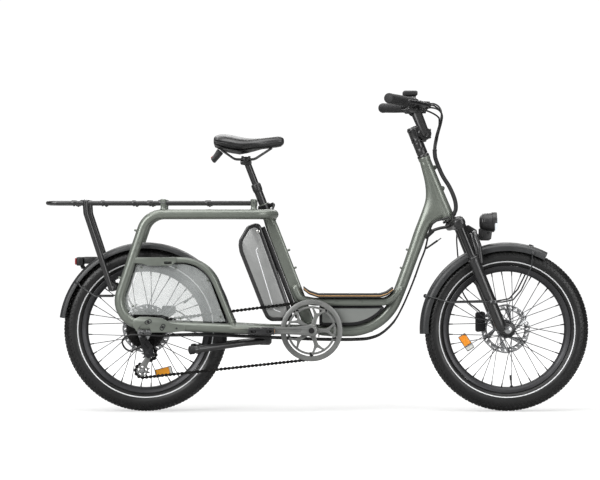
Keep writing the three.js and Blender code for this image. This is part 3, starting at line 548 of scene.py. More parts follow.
# main tone, cloudy tone, rubbed tone, roughness low and high, metallic, coat, grain scale and depth, rub, dust,
# and any pattern
finishes = {
    "sagePaint": ((116, 121, 113), (110, 115, 108), (160, 163, 157), (0.28, 0.4), 0.4, 0.4, (2600, 0.25), 0.04, 0.05),
    "batteryGrey": ((150, 151, 150), (143, 144, 143), (190, 190, 184), (0.34, 0.46), 0.35, 0.2, (2200, 0.3), 0.05,
                    0.04),
    "blackPaint": ((15, 15, 16), (20, 20, 21), (80, 78, 76), (0.3, 0.42), 0.0, 0.7, (2600, 0.12), 0.03, 0.03),
    "stanchionBlack": ((14, 14, 15), (18, 18, 19), (70, 70, 70), (0.1, 0.18), 0.3, 0.7, (2600, 0.1), 0.02, 0.02),
    "blackAlloy": ((30, 30, 32), (22, 22, 24), (120, 118, 114), (0.28, 0.42), 0.55, 0.3, (2200, 0.25), 0.06, 0.05),
    "rimBlack": ((62, 62, 64), (52, 52, 54), (120, 118, 114), (0.34, 0.46), 0.5, 0.0, (2400, 0.3), 0.04, 0.03),
    "greyAlloy": ((128, 129, 127), (114, 115, 114), (196, 196, 192), (0.34, 0.46), 0.55, 0.1, (1500, 0.5), 0.08, 0.03),
    "brightSteel": ((188, 189, 190), (166, 167, 169), (220, 220, 218), (0.2, 0.36), 1.0, 0.0, (900, 0.3), 0.2, 0.03),
    "spokeSteel": ((96, 97, 99), (74, 75, 77), (200, 200, 198), (0.26, 0.4), 0.9, 0.0, (900, 0.2), 0.0, 0.03),
    "chainSteel": ((26, 26, 26), (18, 18, 18), (150, 146, 138), (0.34, 0.52), 0.8, 0.0, (1300, 0.5), 0.1, 0.02),
    "tyreRubber": ((10, 10, 11), (14, 14, 14), (44, 43, 42), (0.36, 0.5), 0.0, 0.0, (1500, 0.6), 0.15, 0.02),
    # near-white: the tyre's reflective stripe, and also a painted highlight on the battery panels' ridge
    "reflectiveStripeAndPaintedHighlight": ((244, 245, 246), (232, 233, 235), (220, 220, 220), (0.35, 0.5), 0.0, 0.0, (2600, 0.4), 0.1,
                       0.02),
    "gripRubber": ((30, 30, 31), (37, 37, 38), (58, 57, 56), (0.6, 0.75), 0.0, 0.0, (2300, 0.9), 0.2, 0.1, gripDots),
    "softPlastic": ((22, 22, 23), (28, 28, 29), (66, 65, 64), (0.34, 0.5), 0.0, 0.15, (2200, 0.4), 0.04, 0.04),
    "mudguardPlastic": ((44, 45, 46), (38, 39, 40), (90, 90, 89), (0.36, 0.5), 0.0, 0.15, (2300, 0.4), 0.04, 0.05),
    "caseGrey": ((140, 143, 140), (131, 134, 131), (150, 152, 148), (0.38, 0.5), 0.25, 0.1, (2000, 0.5), 0.05, 0.05),
    "lensRed": ((150, 14, 12), (122, 8, 8), (190, 60, 50), (0.12, 0.24), 0.0, 0.6, (700, 0.3), 0.0, 0.03),
    "reflectorAmber": ((250, 170, 34), (240, 140, 22), (252, 200, 110), (0.16, 0.3), 0.0, 0.5, (500, 0.2), 0.0, 0.03,
                       gripDots),
    "reflectorWhite": ((226, 226, 220), (206, 207, 203), (240, 240, 238), (0.16, 0.3), 0.1, 0.5, (500, 0.2), 0.0, 0.03,
                       gripDots),
    "screenGlass": ((14, 16, 18), (20, 23, 26), (60, 64, 68), (0.08, 0.18), 0.0, 0.8, (400, 0.05), 0.0, 0.03),
    "plywoodEdge": ((206, 172, 122), (160, 122, 78), (220, 194, 150), (0.5, 0.66), 0.0, 0.1, (900, 0.5), 0.2, 0.04,
                    plyLines),
    "gripSheet": ((34, 34, 35), (42, 42, 42), (74, 73, 71), (0.66, 0.82), 0.0, 0.0, (1300, 0.9), 0.2, 0.1, gripDots),
    "saddleVinyl": ((40, 40, 41), (34, 34, 35), (84, 83, 81), (0.28, 0.4), 0.0, 0.25, (1900, 0.5), 0.15, 0.07, hide),
    "cableJacket": ((16, 16, 17), (22, 22, 23), (58, 58, 57), (0.38, 0.54), 0.0, 0.0, (1700, 0.5), 0.1, 0.05),
    "sleeveWeave": ((34, 34, 35), (24, 24, 25), (70, 70, 68), (0.6, 0.76), 0.0, 0.0, (1900, 0.5), 0.2, 0.05, weave),
    "keySilver": ((206, 206, 204), (184, 184, 182), (230, 230, 228), (0.22, 0.36), 1.0, 0.0, (900, 0.3), 0.2, 0.02),
}
wheelCentres = {"Front": mm(612, 0, 265), "Rear": mm(-556, 0, 265)}
patternDepth = {"gripDots": 3.0, "weave": 6.0, "hide": 0.6, "plyLines": 2.1, "rotorBrush": 0.72}


def makeFinish(name, row, discCentre=None):
    main, second, rubbed, rough, metallic, coat, grain, rub, dust, *patterns = row
    material = bpy.data.materials.new(name)
    material.use_nodes = True
    tree = material.node_tree
    shader = tree.nodes["Principled BSDF"]
    shader.inputs["Metallic"].default_value = metallic
    shader.inputs["Coat Weight"].default_value = coat
    shader.inputs["Coat Roughness"].default_value = 0.32
    colour = addNode(tree, "Group", node_tree=groups["agedColour"])
    for socket, value in (("Main", tone(*main)), ("Second", tone(*second)), ("Rubbed", tone(*rubbed)), ("Rub", rub),
                          ("Dust", dust)):
        colour.inputs[socket].default_value = value
    tree.links.new(colour.outputs["Color"], shader.inputs["Base Color"])
    mottle = addNode(tree, "Group", node_tree=groups["mottledRough"])
    mottle.inputs["Low"].default_value, mottle.inputs["High"].default_value = rough
    tree.links.new(mottle.outputs["Roughness"], shader.inputs["Roughness"])
    fine = addNode(tree, "Group", node_tree=groups["fineGrain"])
    fine.inputs["Scale"].default_value, fine.inputs["Depth"].default_value = grain
    height = fine.outputs["Height"]
    if discCentre is not None:
        patterns = [rotorBrush]
    for pattern in patterns:
        shape = pattern(tree, discCentre) if pattern is rotorBrush else pattern(tree)
        raised = mathNode(tree, "MULTIPLY", shape, patternDepth[pattern.__name__])
        height = mathNode(tree, "ADD", raised, height)
        if pattern in (plyLines, weave):
            shade = blendColours(tree, shape, tone(*second), colour.outputs["Color"])
            tree.links.new(shade, shader.inputs["Base Color"])
    bump = addNode(tree, "Bump", {"Strength": 0.35, "Distance": 0.0002, "Height": height})
    tree.links.new(bump.outputs["Normal"], shader.inputs["Normal"])
    return material


def makeGuardSheet():
    # clear plastic, hazed all over and a little scratched
    material = makeFinish("clearGuard", ((214, 218, 216), (196, 201, 200), (235, 236, 234), (0.22, 0.42), 0.0, 0.2,
                                         (1400, 0.3), 0.3, 0.05))
    tree = material.node_tree
    shader = tree.nodes["Principled BSDF"]
    haze = addNode(tree, "Group", node_tree=groups["mottledRough"])
    haze.inputs["Low"].default_value, haze.inputs["High"].default_value = 0.13, 0.3
    haze.inputs["Scale"].default_value = 5.0
    for node in tree.nodes:
        if node.bl_idname == "ShaderNodeBump":
            node.inputs["Strength"].default_value = 0.04
    tree.links.new(haze.outputs["Roughness"], shader.inputs["Alpha"])
    return material


def makeLens():
    # pale ribbed lens of the headlight; its emission is a painted glow standing in for the bright highlight on the lens
    material = makeFinish("lensClear", ((222, 226, 228), (206, 212, 216), (240, 240, 240), (0.06, 0.14), 0.0, 0.6,
                                        (500, 0.1), 0.0, 0.02))
    shader = material.node_tree.nodes["Principled BSDF"]
    # painted highlight: the lens glows so that its edge reads bright white
    shader.inputs["Emission Color"].default_value = (0.9, 0.95, 1, 1)
    shader.inputs["Emission Strength"].default_value = 0.7
    return material


print("finishes")
groups = makeGroups()
finish = {name: makeFinish(name, row) for name, row in finishes.items()}
for wheel, centre in wheelCentres.items():
    finish["brushedDisc" + wheel] = makeFinish("brushedDisc" + wheel, finishes["brightSteel"], centre)
finish["clearGuard"] = makeGuardSheet()
finish["lensClear"] = makeLens()


def ringAcross(rear, front, half, count=28, power=2.2):
    # one rounded section between a rear and a front point, half its width to each side
    middle, reach = (rear + front) / 2, (front - rear) / 2
    ring = []
    for k in range(count):
        c, s = cos(2 * pi * k / count), sin(2 * pi * k / count)
        along = copysign(abs(c) ** (2 / power), c)
        aside = copysign(abs(s) ** (2 / power), s)
        ring.append(middle + reach * along + Vector((0, aside * half / 1000, 0)))
    return ring


def weld(centre, axis, radius, size=1.7, ripples=46):
    # the small scaled bead where one tube meets another
    axis = Vector(axis).normalized()
    side = axis.orthogonal().normalized()
    points, swell = [], []
    for k in range(ripples * 2):
        points.append(Vector(centre) + Matrix.Rotation(pi * k / ripples, 3, axis) @ side * radius / 1000)
        swell.append(1.0 + 0.16 * (k % 2))
    return tube(points, size, 8, closed=True, radii=swell)


def roundEnded(points, radius, sides=20):
    # a tube whose two ends are closed with a half ball
    out, radii = [], []
    steps = [(0.98, 0.18), (0.82, 0.57), (0.5, 0.87), (0, 1)]
    for end, inner in ((points[0], points[1]), (points[-1], points[-2])):
        away = (end - inner).normalized() * radius / 1000
        out.append([(end - away + away * reach, size) for reach, size in steps])
    path = [p for p, _ in out[0]] + points[1:-1] + [p for p, _ in reversed(out[1])]
    radii = [r for _, r in out[0]] + [1] * (len(points) - 2) + [r for _, r in reversed(out[1])]
    return tube(path, radius, sides, radii=radii)


# rear edge, front edge and half width of the down tube where it swells into the head tube
headFlow = [
    ((248.5, 398.5), (284, 385.2), 19), ((265.7, 444.5), (301.5, 431.2), 19), ((286.1, 502.5), (322.6, 489.5), 19),
    ((300, 544), (339, 531), 19), ((313.7, 586.4), (354, 573), 19), ((326, 616), (368, 604), 18.5),
    ((336.7, 645), (404, 622), 18), ((345, 668), (434, 636), 17.6), ((350.6, 688), (429, 652), 17.2),
    ((350.9, 716), (412, 690), 17.2), ((346.4, 748.4), (394, 728), 17.2), ((339, 775), (382, 758), 17.4),
    ((332, 802), (368, 789), 17.6), ((329, 815), (360, 806), 17.4)]
headTube = [(15.6, 0.5), (18.6, -0.5), (19.6, 1.5), (19.6, 9), (18.4, 12), (18.5, 60), (19.4, 150), (20.6, 200),
            (21.2, 203), (21.2, 213), (20.4, 215.5), (15.6, 215.5)]


def frontFrame():
    down = bent([(mm(-16, 0, 260), 0), (mm(215.8, 0, 260), 165), (mm(321.4, 0, 540.8), 0)], 14)
    rings = []
    for i, point in enumerate(down):
        if point.z > 0.38:
            break
        on = (down[i + 1] - down[max(i - 1, 0)]).normalized()
        back = Vector((-on.z, 0, on.x)) * 0.019
        rings.append(ringAcross(point + back, point - back, 19, power=2.0))
    for rear, front, half in headFlow:
        rings.append(ringAcross(mm(rear[0], 0, rear[1]), mm(front[0], 0, front[1]), half,
                                power=2.0 if rear[1] < 600 else 2.25))
    body = loft(rings)
    body = modify(body, "SUBSURF", levels=1, render_levels=1)
    head = spun(headTube, inForkFrame(0, 0, 0), steerDown, 40, closed=True)
    eyelets = []
    for s, x, z in ((44, 379, 789), (118, 404.5, 722)):
        ring = spun([(4.2, -3), (6.6, -3), (7.4, -2), (7.4, 2), (6.6, 3), (4.2, 3)], mm(x, 0, z), (0, 1, 0), 28,
                    closed=True)
        foot = block(-4, 4, -4, 4, -5, 5, 1.5)
        moveBy(foot, inForkFrame(s, 20, 0))
        eyelets += [ring, foot]
    shell = spun([(15, -36.5), (20, -36.5), (21.4, -35), (21.4, -27), (20.6, -25.5), (20.6, 25.5), (21.4, 27),
                  (21.4, 35), (20, 36.5), (15, 36.5)], mm(-20, 0, 263), (0, 1, 0), 44, closed=True)
    studs = boltsAt(0, ((292.5, 522), (273, 463)), (-0.93, 0, 0.35), 3.6, 7)
    settle([body, head, *eyelets, shell, *studs], "down_tube_and_head", "sagePaint", "frame",
           ["down_tube"])
    beads = [weld(mm(4, 0, 260), (1, 0, 0), 19.6), weld(inForkFrame(44, 20, 0), steerAhead, 5.6, 1.2, 18),
             weld(inForkFrame(118, 20, 0), steerAhead, 5.6, 1.2, 18)]
    settle(beads, "down_tube_welds", "sagePaint", "frame")


# height, reach fore and aft, half width and how square, from the bottom up
seatTubeShape = {
    "sections": ((270, 20, 18, 5), (420, 20, 18, 5), (560, 20, 18, 5), (592, 19.8, 18, 4.4), (606, 19, 17.9, 3.2),
                 (616, 18, 17.6, 2.3), (626, 17.5, 17.5, 2.0), (648, 17.5, 17.5, 2.0), (667.5, 17.5, 17.5, 2.0)),
    "collarTop": 668,
}


def seatTube():
    rings = []
    for z, reach, half, power in seatTubeShape["sections"]:
        centre = onSeatTube(z)
        rings.append(ringAcross(centre - seatAcross * reach / 1000, centre + seatAcross * reach / 1000, half, 48,
                                power))
    body = loft(rings)
    rim = spun([(14.2, -2), (18.2, -2), (18.6, -1), (18.6, 1.6), (17.8, 2.2), (14.2, 2.2)],
               onSeatTube(seatTubeShape["collarTop"]), seatUp, 40, closed=True)
    studs = boltsAt(0, ((-97, 520), (-76, 463)), (0.93, 0, 0.36), 3.6, 9)
    gusset = plate([[(-190, 640), (-133, 624), (-139, 598), (-158, 602), (-176, 620)]], -6, 6, 1)
    settle([body, rim, gusset, *studs], "seat_tube_squared", "sagePaint", "frame", ["seat_tube"])
    beads = [weld(onSeatTube(286), seatUp, 21.6, 1.8), weld(onSeatTube(632), seatUp, 18.2, 1.5)]
    settle(beads, "seat_tube_welds", "sagePaint", "frame")


def deckTubes():
    line = [(-78, 409, 0), (-56, 362, 34), (-10, 354, 90), (230, 354, 60), (274, 404, 0)]
    near = roundEnded(bent([(mm(x, -32.5, z), r) for x, z, r in line], 8), 12.5, 24)
    ties = [rod(mm(x, -32, 353), mm(x, 32, 353), 7) for x in (40, 175)]
    bolts = [hexBolt(mm(x, -45, 356), (0, -1, 0), 3.4, 2.6) for x in (-20, 60, 140, 216)]
    whole = joined([bothSides(joined([near, *bolts])), *ties])
    settle(whole, "deck_tubes_round_ended", "sagePaint", "frame", ["deck_tubes"])


# the cargo loop from the bottom bracket round the rear wheel and over the top, one side
loopLine = [(-30, 29, 264, 0), (-140, 29, 265, 80), (-285, 85, 270.5, 80), (-666, 85, 285, 79), (-547.4, 85, 637, 67),
            (-142, 85, 637, 62)]
dropoutPlate = [(-590, 300), (-572, 308), (-545, 308), (-500, 304), (-470, 289), (-425, 280), (-425, 262), (-470, 258),
                (-534, 257.4), *arc(-556, 261, 21, -8, 188, 16), (-582, 264), (-592, 280)]
panelBracket = [(-598, 498), (-452, 498), (-456, 482), (-470, 472), (-545, 472), (-560, 478), (-592, 480)]


def cargoLoop():
    near = [(mm(x, -y, z), r) for x, y, z, r in loopLine]
    far = [(mm(x, y, z), r) for x, y, z, r in reversed(loopLine)]
    loop = tube(bent(near + far, 12), 15.5, 28)
    inner = tube(bent([(mm(-590, -85, 490), 0), (mm(-358, -85, 490), 120), (mm(-270, -85, 274), 0)], 14), 9, 20)
    web = plate([dropoutPlate], -102, -84, 2.2)
    # black oval rings round the dropout bolts: painted shade standing in for the recessed slots in the sage plate
    recessShadeRings = [plate([slotShape(x, z, 24, 14, tilt), slotShape(x, z, 18, 9, tilt)], -103.4, -101.4, 0.6)
                for x, z, tilt in ((-543, 292, 24), (-497, 275, 62))]
    bracket = plate([panelBracket, slotShape(-480, 481, 26, 9, 0)], -97, -88, 1)
    rivets = boltsAt(-99.6, ((-574, 545), (-583, 522)), (0, -1, 0), 4, 2.4)
    rivets += boltsAt(-85, ((-581, 584), (-632, 432)), (-0.95, 0, 0.3), 3.6, 8)
    side = joined([inner, web, bracket, *rivets])
    bridge = rod(mm(-258, -80, 270), mm(-258, 80, 270), 8)
    settle([loop, bothSides(side), bridge], "cargo_loop", "sagePaint", "frame",
           ["top_loop", "rear_frame_right", "rear_frame_left"])
    beads = [weld(mm(-578, -85, 490), (1, 0, 0), 9.3), weld(mm(-277, -85, 291), (0.37, 0, -0.93), 9.3),
             weld(mm(-258, -70, 270), (0, 1, 0), 8.3, 1.5, 26)]
    settle(bothSides(joined(beads)), "cargo_loop_welds", "sagePaint", "frame")
    bolts = [hexBolt(mm(x, y, z), (0, -1, 0), 4.4, 1.6) for x, y, z in
             ((-543, -101.6, 292), (-497, -101.6, 275), (-512, -90.4, 486))]
    bolts.append(hexBolt(mm(-452, -101.6, 271), (0, -1, 0), 3, 1.4))
    settle(bothSides(joined(bolts + recessShadeRings)), "dropout_bolts_and_recess_shade", "blackAlloy", "frame")


guardOutline = [(-580, 477), *arc(-439, 370, 106, 88, 24, 22), (-296, 292), (-420, 293), (-470, 304), (-500, 313),
                (-590, 315), *arc(-557, 360, 60, 232, 162, 10), (-606, 398)]


def wheelGuards():
    for side, name in ((-1, "right"), (1, "left")):
        sheet = plate([guardOutline], side * 80 - 0.9, side * 80 + 0.9, 0.4)
        settle(sheet, "wheel_guard_clear_" + name, "clearGuard", "frame", ["wheel_guard_" + name])
    studs = boltsAt(-80.8, ((-566, 466), (-455, 464), (-352, 424), (-312, 308), (-440, 302), (-592, 342)), (0, -1, 0),
                    3.6, 2.4)
    settle(bothSides(joined(studs)), "wheel_guard_studs", "sagePaint", "frame")


tyreShape = {"middle": 234.5, "reach": 28.6, "half": 29.3}


def tyrePoint(angle, lift=0.0):
    a = radians(angle)
    return (tyreShape["middle"] + (tyreShape["reach"] + lift) * cos(a), (tyreShape["half"] + lift) * sin(a))


def treadBlock(centre, angle, width, length, lift, skew=0.0):
    # one block, laid on the tyre at an angle across its section
    r, y = tyrePoint(angle)
    deselect()
    bpy.ops.mesh.primitive_cube_add(size=1, location=(0, 0, 0), scale=(length / 1000, width / 1000, lift / 1000))
    bpy.ops.object.transform_apply(location=True, rotation=True, scale=True)
    one = bpy.context.object
    for v in one.data.vertices:
        if v.co.z > 0:
            v.co.x *= 0.8
            v.co.y *= 0.84
        v.co.x += v.co.y * skew
    one.data.transform(Matrix.Rotation(-radians(angle), 4, "X"))
    moveBy(one, (centre[0], y / 1000, centre[2] + r / 1000))
    return one


def makeTyre(centre, label, body):
    ring = [tyrePoint(a) for a in range(-128, 129, 8)]
    carcass = spun([(206.6, -15), *ring, (206.6, 15)], centre, (0, 1, 0), 96, closed=True)
    rows = [(0, 9, 9, 0.0, 72, 0), (17, 7.5, 11, 0.35, 72, 0.5), (-17, 7.5, 11, -0.35, 72, 0.5),
            (34, 8.5, 9, 0.25, 96, 0), (-34, 8.5, 9, -0.25, 96, 0), (52, 9, 8, 0.3, 108, 0.25),
            (-52, 9, 8, -0.3, 108, 0.25), (71, 9, 5, 0.4, 108, 0.6), (-71, 9, 5, -0.4, 108, 0.6)]
    blocks = []
    for angle, width, length, skew, count, shift in rows:
        one = treadBlock(centre, angle, width, length, 3.4 if abs(angle) < 20 else 4.6, skew)
        one.data.transform(turnAbout(centre, 2 * pi * shift / count))
        blocks.append(ringOf(one, count, centre))
    bead = spun([(214.5, -23.2), (217.0, -24.6), (217.0, -25.4), (214.0, -24.2)], centre, (0, 1, 0), 96, closed=True)
    whole = joined([carcass, *blocks, bead, copyOf(bead, otherSide)])
    settle(whole, label + "_tyre_treaded", "tyreRubber", body, [label + "_tyre"], 34)
    line = [tyrePoint(a, 0.45) for a in (131, 128, 125, 122, 119)]
    back = [tyrePoint(a, -0.5) for a in (119, 125, 131)]
    stripe = spun([*line, *back], centre, (0, 1, 0), 96, closed=True)
    settle(bothSides(stripe), label + "_tyre_line", "reflectiveStripeAndPaintedHighlight", body)


rimProfile = [(206.4, 14.2), (206.2, 17.4), (204.6, 18.3), (199, 16.4), (192, 13.2), (187.6, 8), (186.6, 4),
              (186.6, -4), (187.6, -8), (192, -13.2), (199, -16.4), (204.6, -18.3), (206.2, -17.4), (206.4, -14.2),
              (200, -12), (200, 12)]
spokeCount = 36


def makeRim(centre, label, body, valveAngle):
    rim = spun(rimProfile, centre, (0, 1, 0), 108, closed=True)
    settle(rim, label + "_rim_hollow", "rimBlack", body, [label + "_rim"])
    out = Vector((cos(valveAngle), 0, sin(valveAngle)))
    stem = spun([(0, 0), (3.1, 0), (3.1, 4), (2.6, 5), (2.6, 22), (3.9, 23), (3.9, 37), (3.0, 39), (0, 39)],
                Vector(centre) + out * 0.188, -out, 16)
    nut = hexNut(Vector(centre) + out * 0.1865, -out, 5.4, 3)
    settle([stem, nut], label + "_valve", "blackAlloy", body)


def spokeEnds(centre, k, flangeR, flangeY, slant):
    # spokes leave the two flanges in turn and slant both ways
    side = 1 if k % 2 else -1
    forwards = (k // 2) % 2 == 1
    rimAngle = (k + 0.5) * 2 * pi / spokeCount
    hubAngle = rimAngle + radians(slant if forwards else -slant)
    hubEnd = Vector(centre) + mm(flangeR * cos(hubAngle), side * (flangeY + (2.6 if forwards else -2.6)),
                                 flangeR * sin(hubAngle))
    rimEnd = Vector(centre) + mm(187.4 * cos(rimAngle), side * 2.5, 187.4 * sin(rimAngle))
    return hubEnd, rimEnd


def makeSpokes(centre, label, body, flangeR, flangeY, slant):
    thin, nipples = [], []
    for k in range(spokeCount):
        hubEnd, rimEnd = spokeEnds(centre, k, flangeR, flangeY, slant)
        inwards = (hubEnd - rimEnd).normalized()
        thin.append(rod(hubEnd, rimEnd, 1.25, sides=8))
        thin.append(hexBolt(hubEnd, (0, 1 if k % 2 else -1, 0), 2.2, 1.8, False))
        nipples.append(rod(rimEnd, rimEnd + inwards * 0.013, 2.3, 1.9, 8))
    settle(thin, label + "_spokes", "spokeSteel", body)
    settle(nipples, label + "_spoke_nipples", "blackAlloy", body)


def discPlate(centre, y):
    # a vented brake disc with slanting arms
    x, z = centre[0] * 1000, centre[2] * 1000
    arms = 6
    windows = []
    for i in range(arms):
        a = i * 60
        windows.append([*arc(x, z, 61, a + 33, a + 75, 10), *arc(x, z, 31, a + 46, a + 4, 8)])
    slots = []
    for i in range(24):
        a = i * 15
        c, s = cos(radians(a)), sin(radians(a))
        slots.append(slotShape(x + 70.5 * c, z + 70.5 * s, 10, 3.4, a + (58 if i % 2 else 28), 3))
    wave = [(x + (79.4 + 0.6 * cos(12 * radians(a))) * cos(radians(a)),
             z + (79.4 + 0.6 * cos(12 * radians(a))) * sin(radians(a))) for a in range(0, 360, 3)]
    return plate([wave, *windows, *slots, circle(x, z, 15, 24)], y - 0.95, y + 0.95, 0.2)


def makeDisc(centre, label, body, y):
    settle(discPlate(centre, y), label + "_disc_vented", "brushedDisc" + label.capitalize(), body,
           [label + "_rotor"])
    bolts = ringOf(hexBolt(Vector(centre) + mm(22, y + 0.9, 0), (0, 1, 0), 3.4, 2.2), 6, centre)
    settle(bolts, label + "_disc_bolts", "blackAlloy", body)


def makeReflector(centre, label, body, angle, radius, lean):
    # an amber block held across the spokes, with a paler third
    out = Vector((cos(angle), 0, sin(angle)))
    turn = Matrix.Translation(Vector(centre) + out * radius / 1000) @ Matrix.Rotation(-angle - lean, 4, "Y")
    split = 10 if label == "front" else 19
    sections = (("amber", -26, split, "reflectorAmber"), ("white", split + 0.4, 26, "reflectorWhite"))
    for name, x0, x1, finishName in sections:
        part = block(x0, x1, -8, 8, -12, 12, 2.4)
        part.data.transform(turn)
        settle(part, label + "_reflector_" + name, finishName, body)
    back = block(-28, 28, -6, 6, -13.4, 13.4, 3)
    back.data.transform(turn)
    settle(back, label + "_reflector_back", "softPlastic", body)


def makeHubs():
    front, rear = wheelCentres["Front"], wheelCentres["Rear"]
    shell = spun([(6.6, -34.5), (11, -34.5), (13, -33.4), (25.5, -33.2), (27, -32), (27, -26.5), (25.5, -25),
                  (18, -23.6), (14.4, -18), (13.6, 0), (14.4, 18), (18, 23.6), (25.5, 25), (27, 26.5), (27, 32),
                  (25.5, 33.2), (13, 33.4), (13, 36.6), (6.6, 36.6)], front, (0, 1, 0), 56, closed=True)
    settle(shell, "front_hub_shell", "blackAlloy", "front_wheel", ["front_hub"])
    drive = spun([(7.6, -29), (22, -30), (24, -31), (48, -30.5), (52, -28.5), (61, -24.6), (62.6, -23), (62.6, -17),
                  (60.4, -15.5), (58.6, -13), (58.6, 13), (60.4, 15.5), (62.6, 17), (62.6, 23), (61, 25), (54, 36),
                  (51, 39.6), (44, 41), (30, 42), (28, 44), (7.6, 44)], rear, (0, 1, 0), 72, closed=True)
    fins = ringOf(block(-0.9, 0.9, 40.6, 43, -48, -33, 0.5, 1), 12, (0, 0, 0))
    moveBy(fins, rear)
    screws = ringOf(hexBolt(rear + mm(44, 41, 0), (0, 1, 0), 2.6, 2), 8, rear)
    screwsFar = ringOf(hexBolt(rear + mm(44, -30.7, 0), (0, -1, 0), 2.6, 2), 8, rear)
    settle([drive, fins, screws, screwsFar], "rear_motor_shell", "blackAlloy", "rear_wheel",
           ["rear_hub_motor"])


def makeWheels():
    front, rear = wheelCentres["Front"], wheelCentres["Rear"]
    makeTyre(front, "front", "front_wheel")
    twins = [("front_tyre_treaded", "rear_tyre_treaded", ["rear_tyre"], "tyreRubber"),
             ("front_tyre_line", "rear_tyre_line", [], "reflectiveStripeAndPaintedHighlight")]
    for source, name, nodes, finishName in twins:
        twin = copyOf(bpy.data.objects[source], Matrix.Translation(rear - front))
        twin.parent = None
        settle(twin, name, finishName, "rear_wheel", nodes, 34)
    makeRim(front, "front", "front_wheel", radians(-85))
    makeRim(rear, "rear", "rear_wheel", radians(35))
    makeHubs()
    makeSpokes(front, "front", "front_wheel", 24, 29, 48)
    makeSpokes(rear, "rear", "rear_wheel", 60.5, 20, 14)
    makeDisc(front, "front", "front_wheel", 38)
    makeDisc(rear, "rear", "rear_wheel", 50)
    makeReflector(front, "front", "front_wheel", radians(198), 137, radians(106))
    makeReflector(rear, "rear", "rear_wheel", radians(-67.4), 149.5, radians(82))


print("frame tubes")
frontFrame()
seatTube()
deckTubes()
cargoLoop()
wheelGuards()
print("wheels")
makeWheels()

crank = {"centre": (-20, 263), "length": 160, "ringTeeth": 46, "ringRadius": 93, "bolts": (54, 126, 198, 270, 342)}
pulleyPlaces = {"guide": (-542, 188), "tension": (-564, 134)}


def gearShape(cx, cz, pitch, teeth, depth=3.0, reach=3.4):
    shape = []
    for k in range(teeth):
        for share, r in ((0, pitch - depth), (0.2, pitch - depth), (0.4, pitch + reach), (0.58, pitch + reach),
                         (0.78, pitch - depth)):
            a = 2 * pi * (k + share) / teeth
            shape.append((cx + r * cos(a), cz + r * sin(a)))
    return shape


def turnedShape(shape, degrees, cx, cz):
    c, s = cos(radians(degrees)), sin(radians(degrees))
    return [(cx + x * c - z * s, cz + x * s + z * c) for x, z in shape]


def roundShape(points, radius, steps=5):
    # the same outline with every corner turned into an arc
    corners = [Vector((x, 0, z)) / 1000 for x, z in points]
    out = []
    for i, corner in enumerate(corners):
        before, after = corners[i - 1], corners[(i + 1) % len(corners)]
        back, on = (before - corner), (after - corner)
        half = back.angle(on) / 2
        if half > radians(88):
            out.append(corner)
            continue
        r = min(radius / 1000, 0.46 * min(back.length, on.length) * tan(half))
        out += bent([(before, 0), (corner, r * 1000), (after, 0)], steps)[1:-1]
    return [(p.x * 1000, p.z * 1000) for p in out]


def insetShape(points, distance):
    # moves every side of an outline inwards
    area = sum(points[i - 1][0] * points[i][1] - points[i][0] * points[i - 1][1] for i in range(len(points)))
    sign = 1 if area > 0 else -1
    out = []
    for i, (x, z) in enumerate(points):
        a, b = points[i - 1], points[(i + 1) % len(points)]
        one = Vector((x - a[0], z - a[1])).normalized()
        two = Vector((b[0] - x, b[1] - z)).normalized()
        inwards = Vector((-(one.y + two.y), one.x + two.x)) * sign
        if inwards.length < 1e-6:
            continue
        inwards.normalize()
        push = distance / max(0.35, abs(inwards.dot(Vector((-one.y, one.x)))))
        out.append((x + inwards.x * push, z + inwards.y * push))
    return out


def crankArm(side):
    x, z = crank["centre"]
    tip = x + side * crank["length"]
    if side < 0:
        shape = [*arc(x, z, 18, -104, 104, 18), (x - 42, z + 13.4), (x - 90, z + 11.4), *arc(tip, z, 13, 84, 276, 14),
                 (x - 90, z - 11.4), (x - 42, z - 13.4)]
    else:
        shape = [*arc(x, z, 18, 76, 284, 18), (x + 42, z - 13.4), (x + 90, z - 11.4), *arc(tip, z, 13, -96, 96, 14),
                 (x + 90, z + 11.4), (x + 42, z + 13.4)]
    hollow = slotShape((x + tip) / 2, z, 96, 9, 0, 8)
    parts = [plate([shape], side * 67.5, side * 78.5, 2.4), plate([shape, hollow], side * 76, side * 81.4, 2.0)]
    parts.append(drum(x, z, side * 60, side * 68, 16, sides=32, edge=1))
    parts.append(drum(tip, z, side * 68, side * 174, 5.8, sides=20))
    boss = spun([(0, 0), (8.4, 0), (9.2, 0.8), (9.2, 3), (0, 3)], mm(x, side * 80.4, z), (0, side, 0), 24)
    eye = spun([(3.2, -0.6), (3.2, 1.2), (8, 1.2), (8.8, 0.5), (8.8, -0.6)], mm(tip, side * 81, z), (0, side, 0), 24,
               closed=True)
    return parts, [boss, eye]


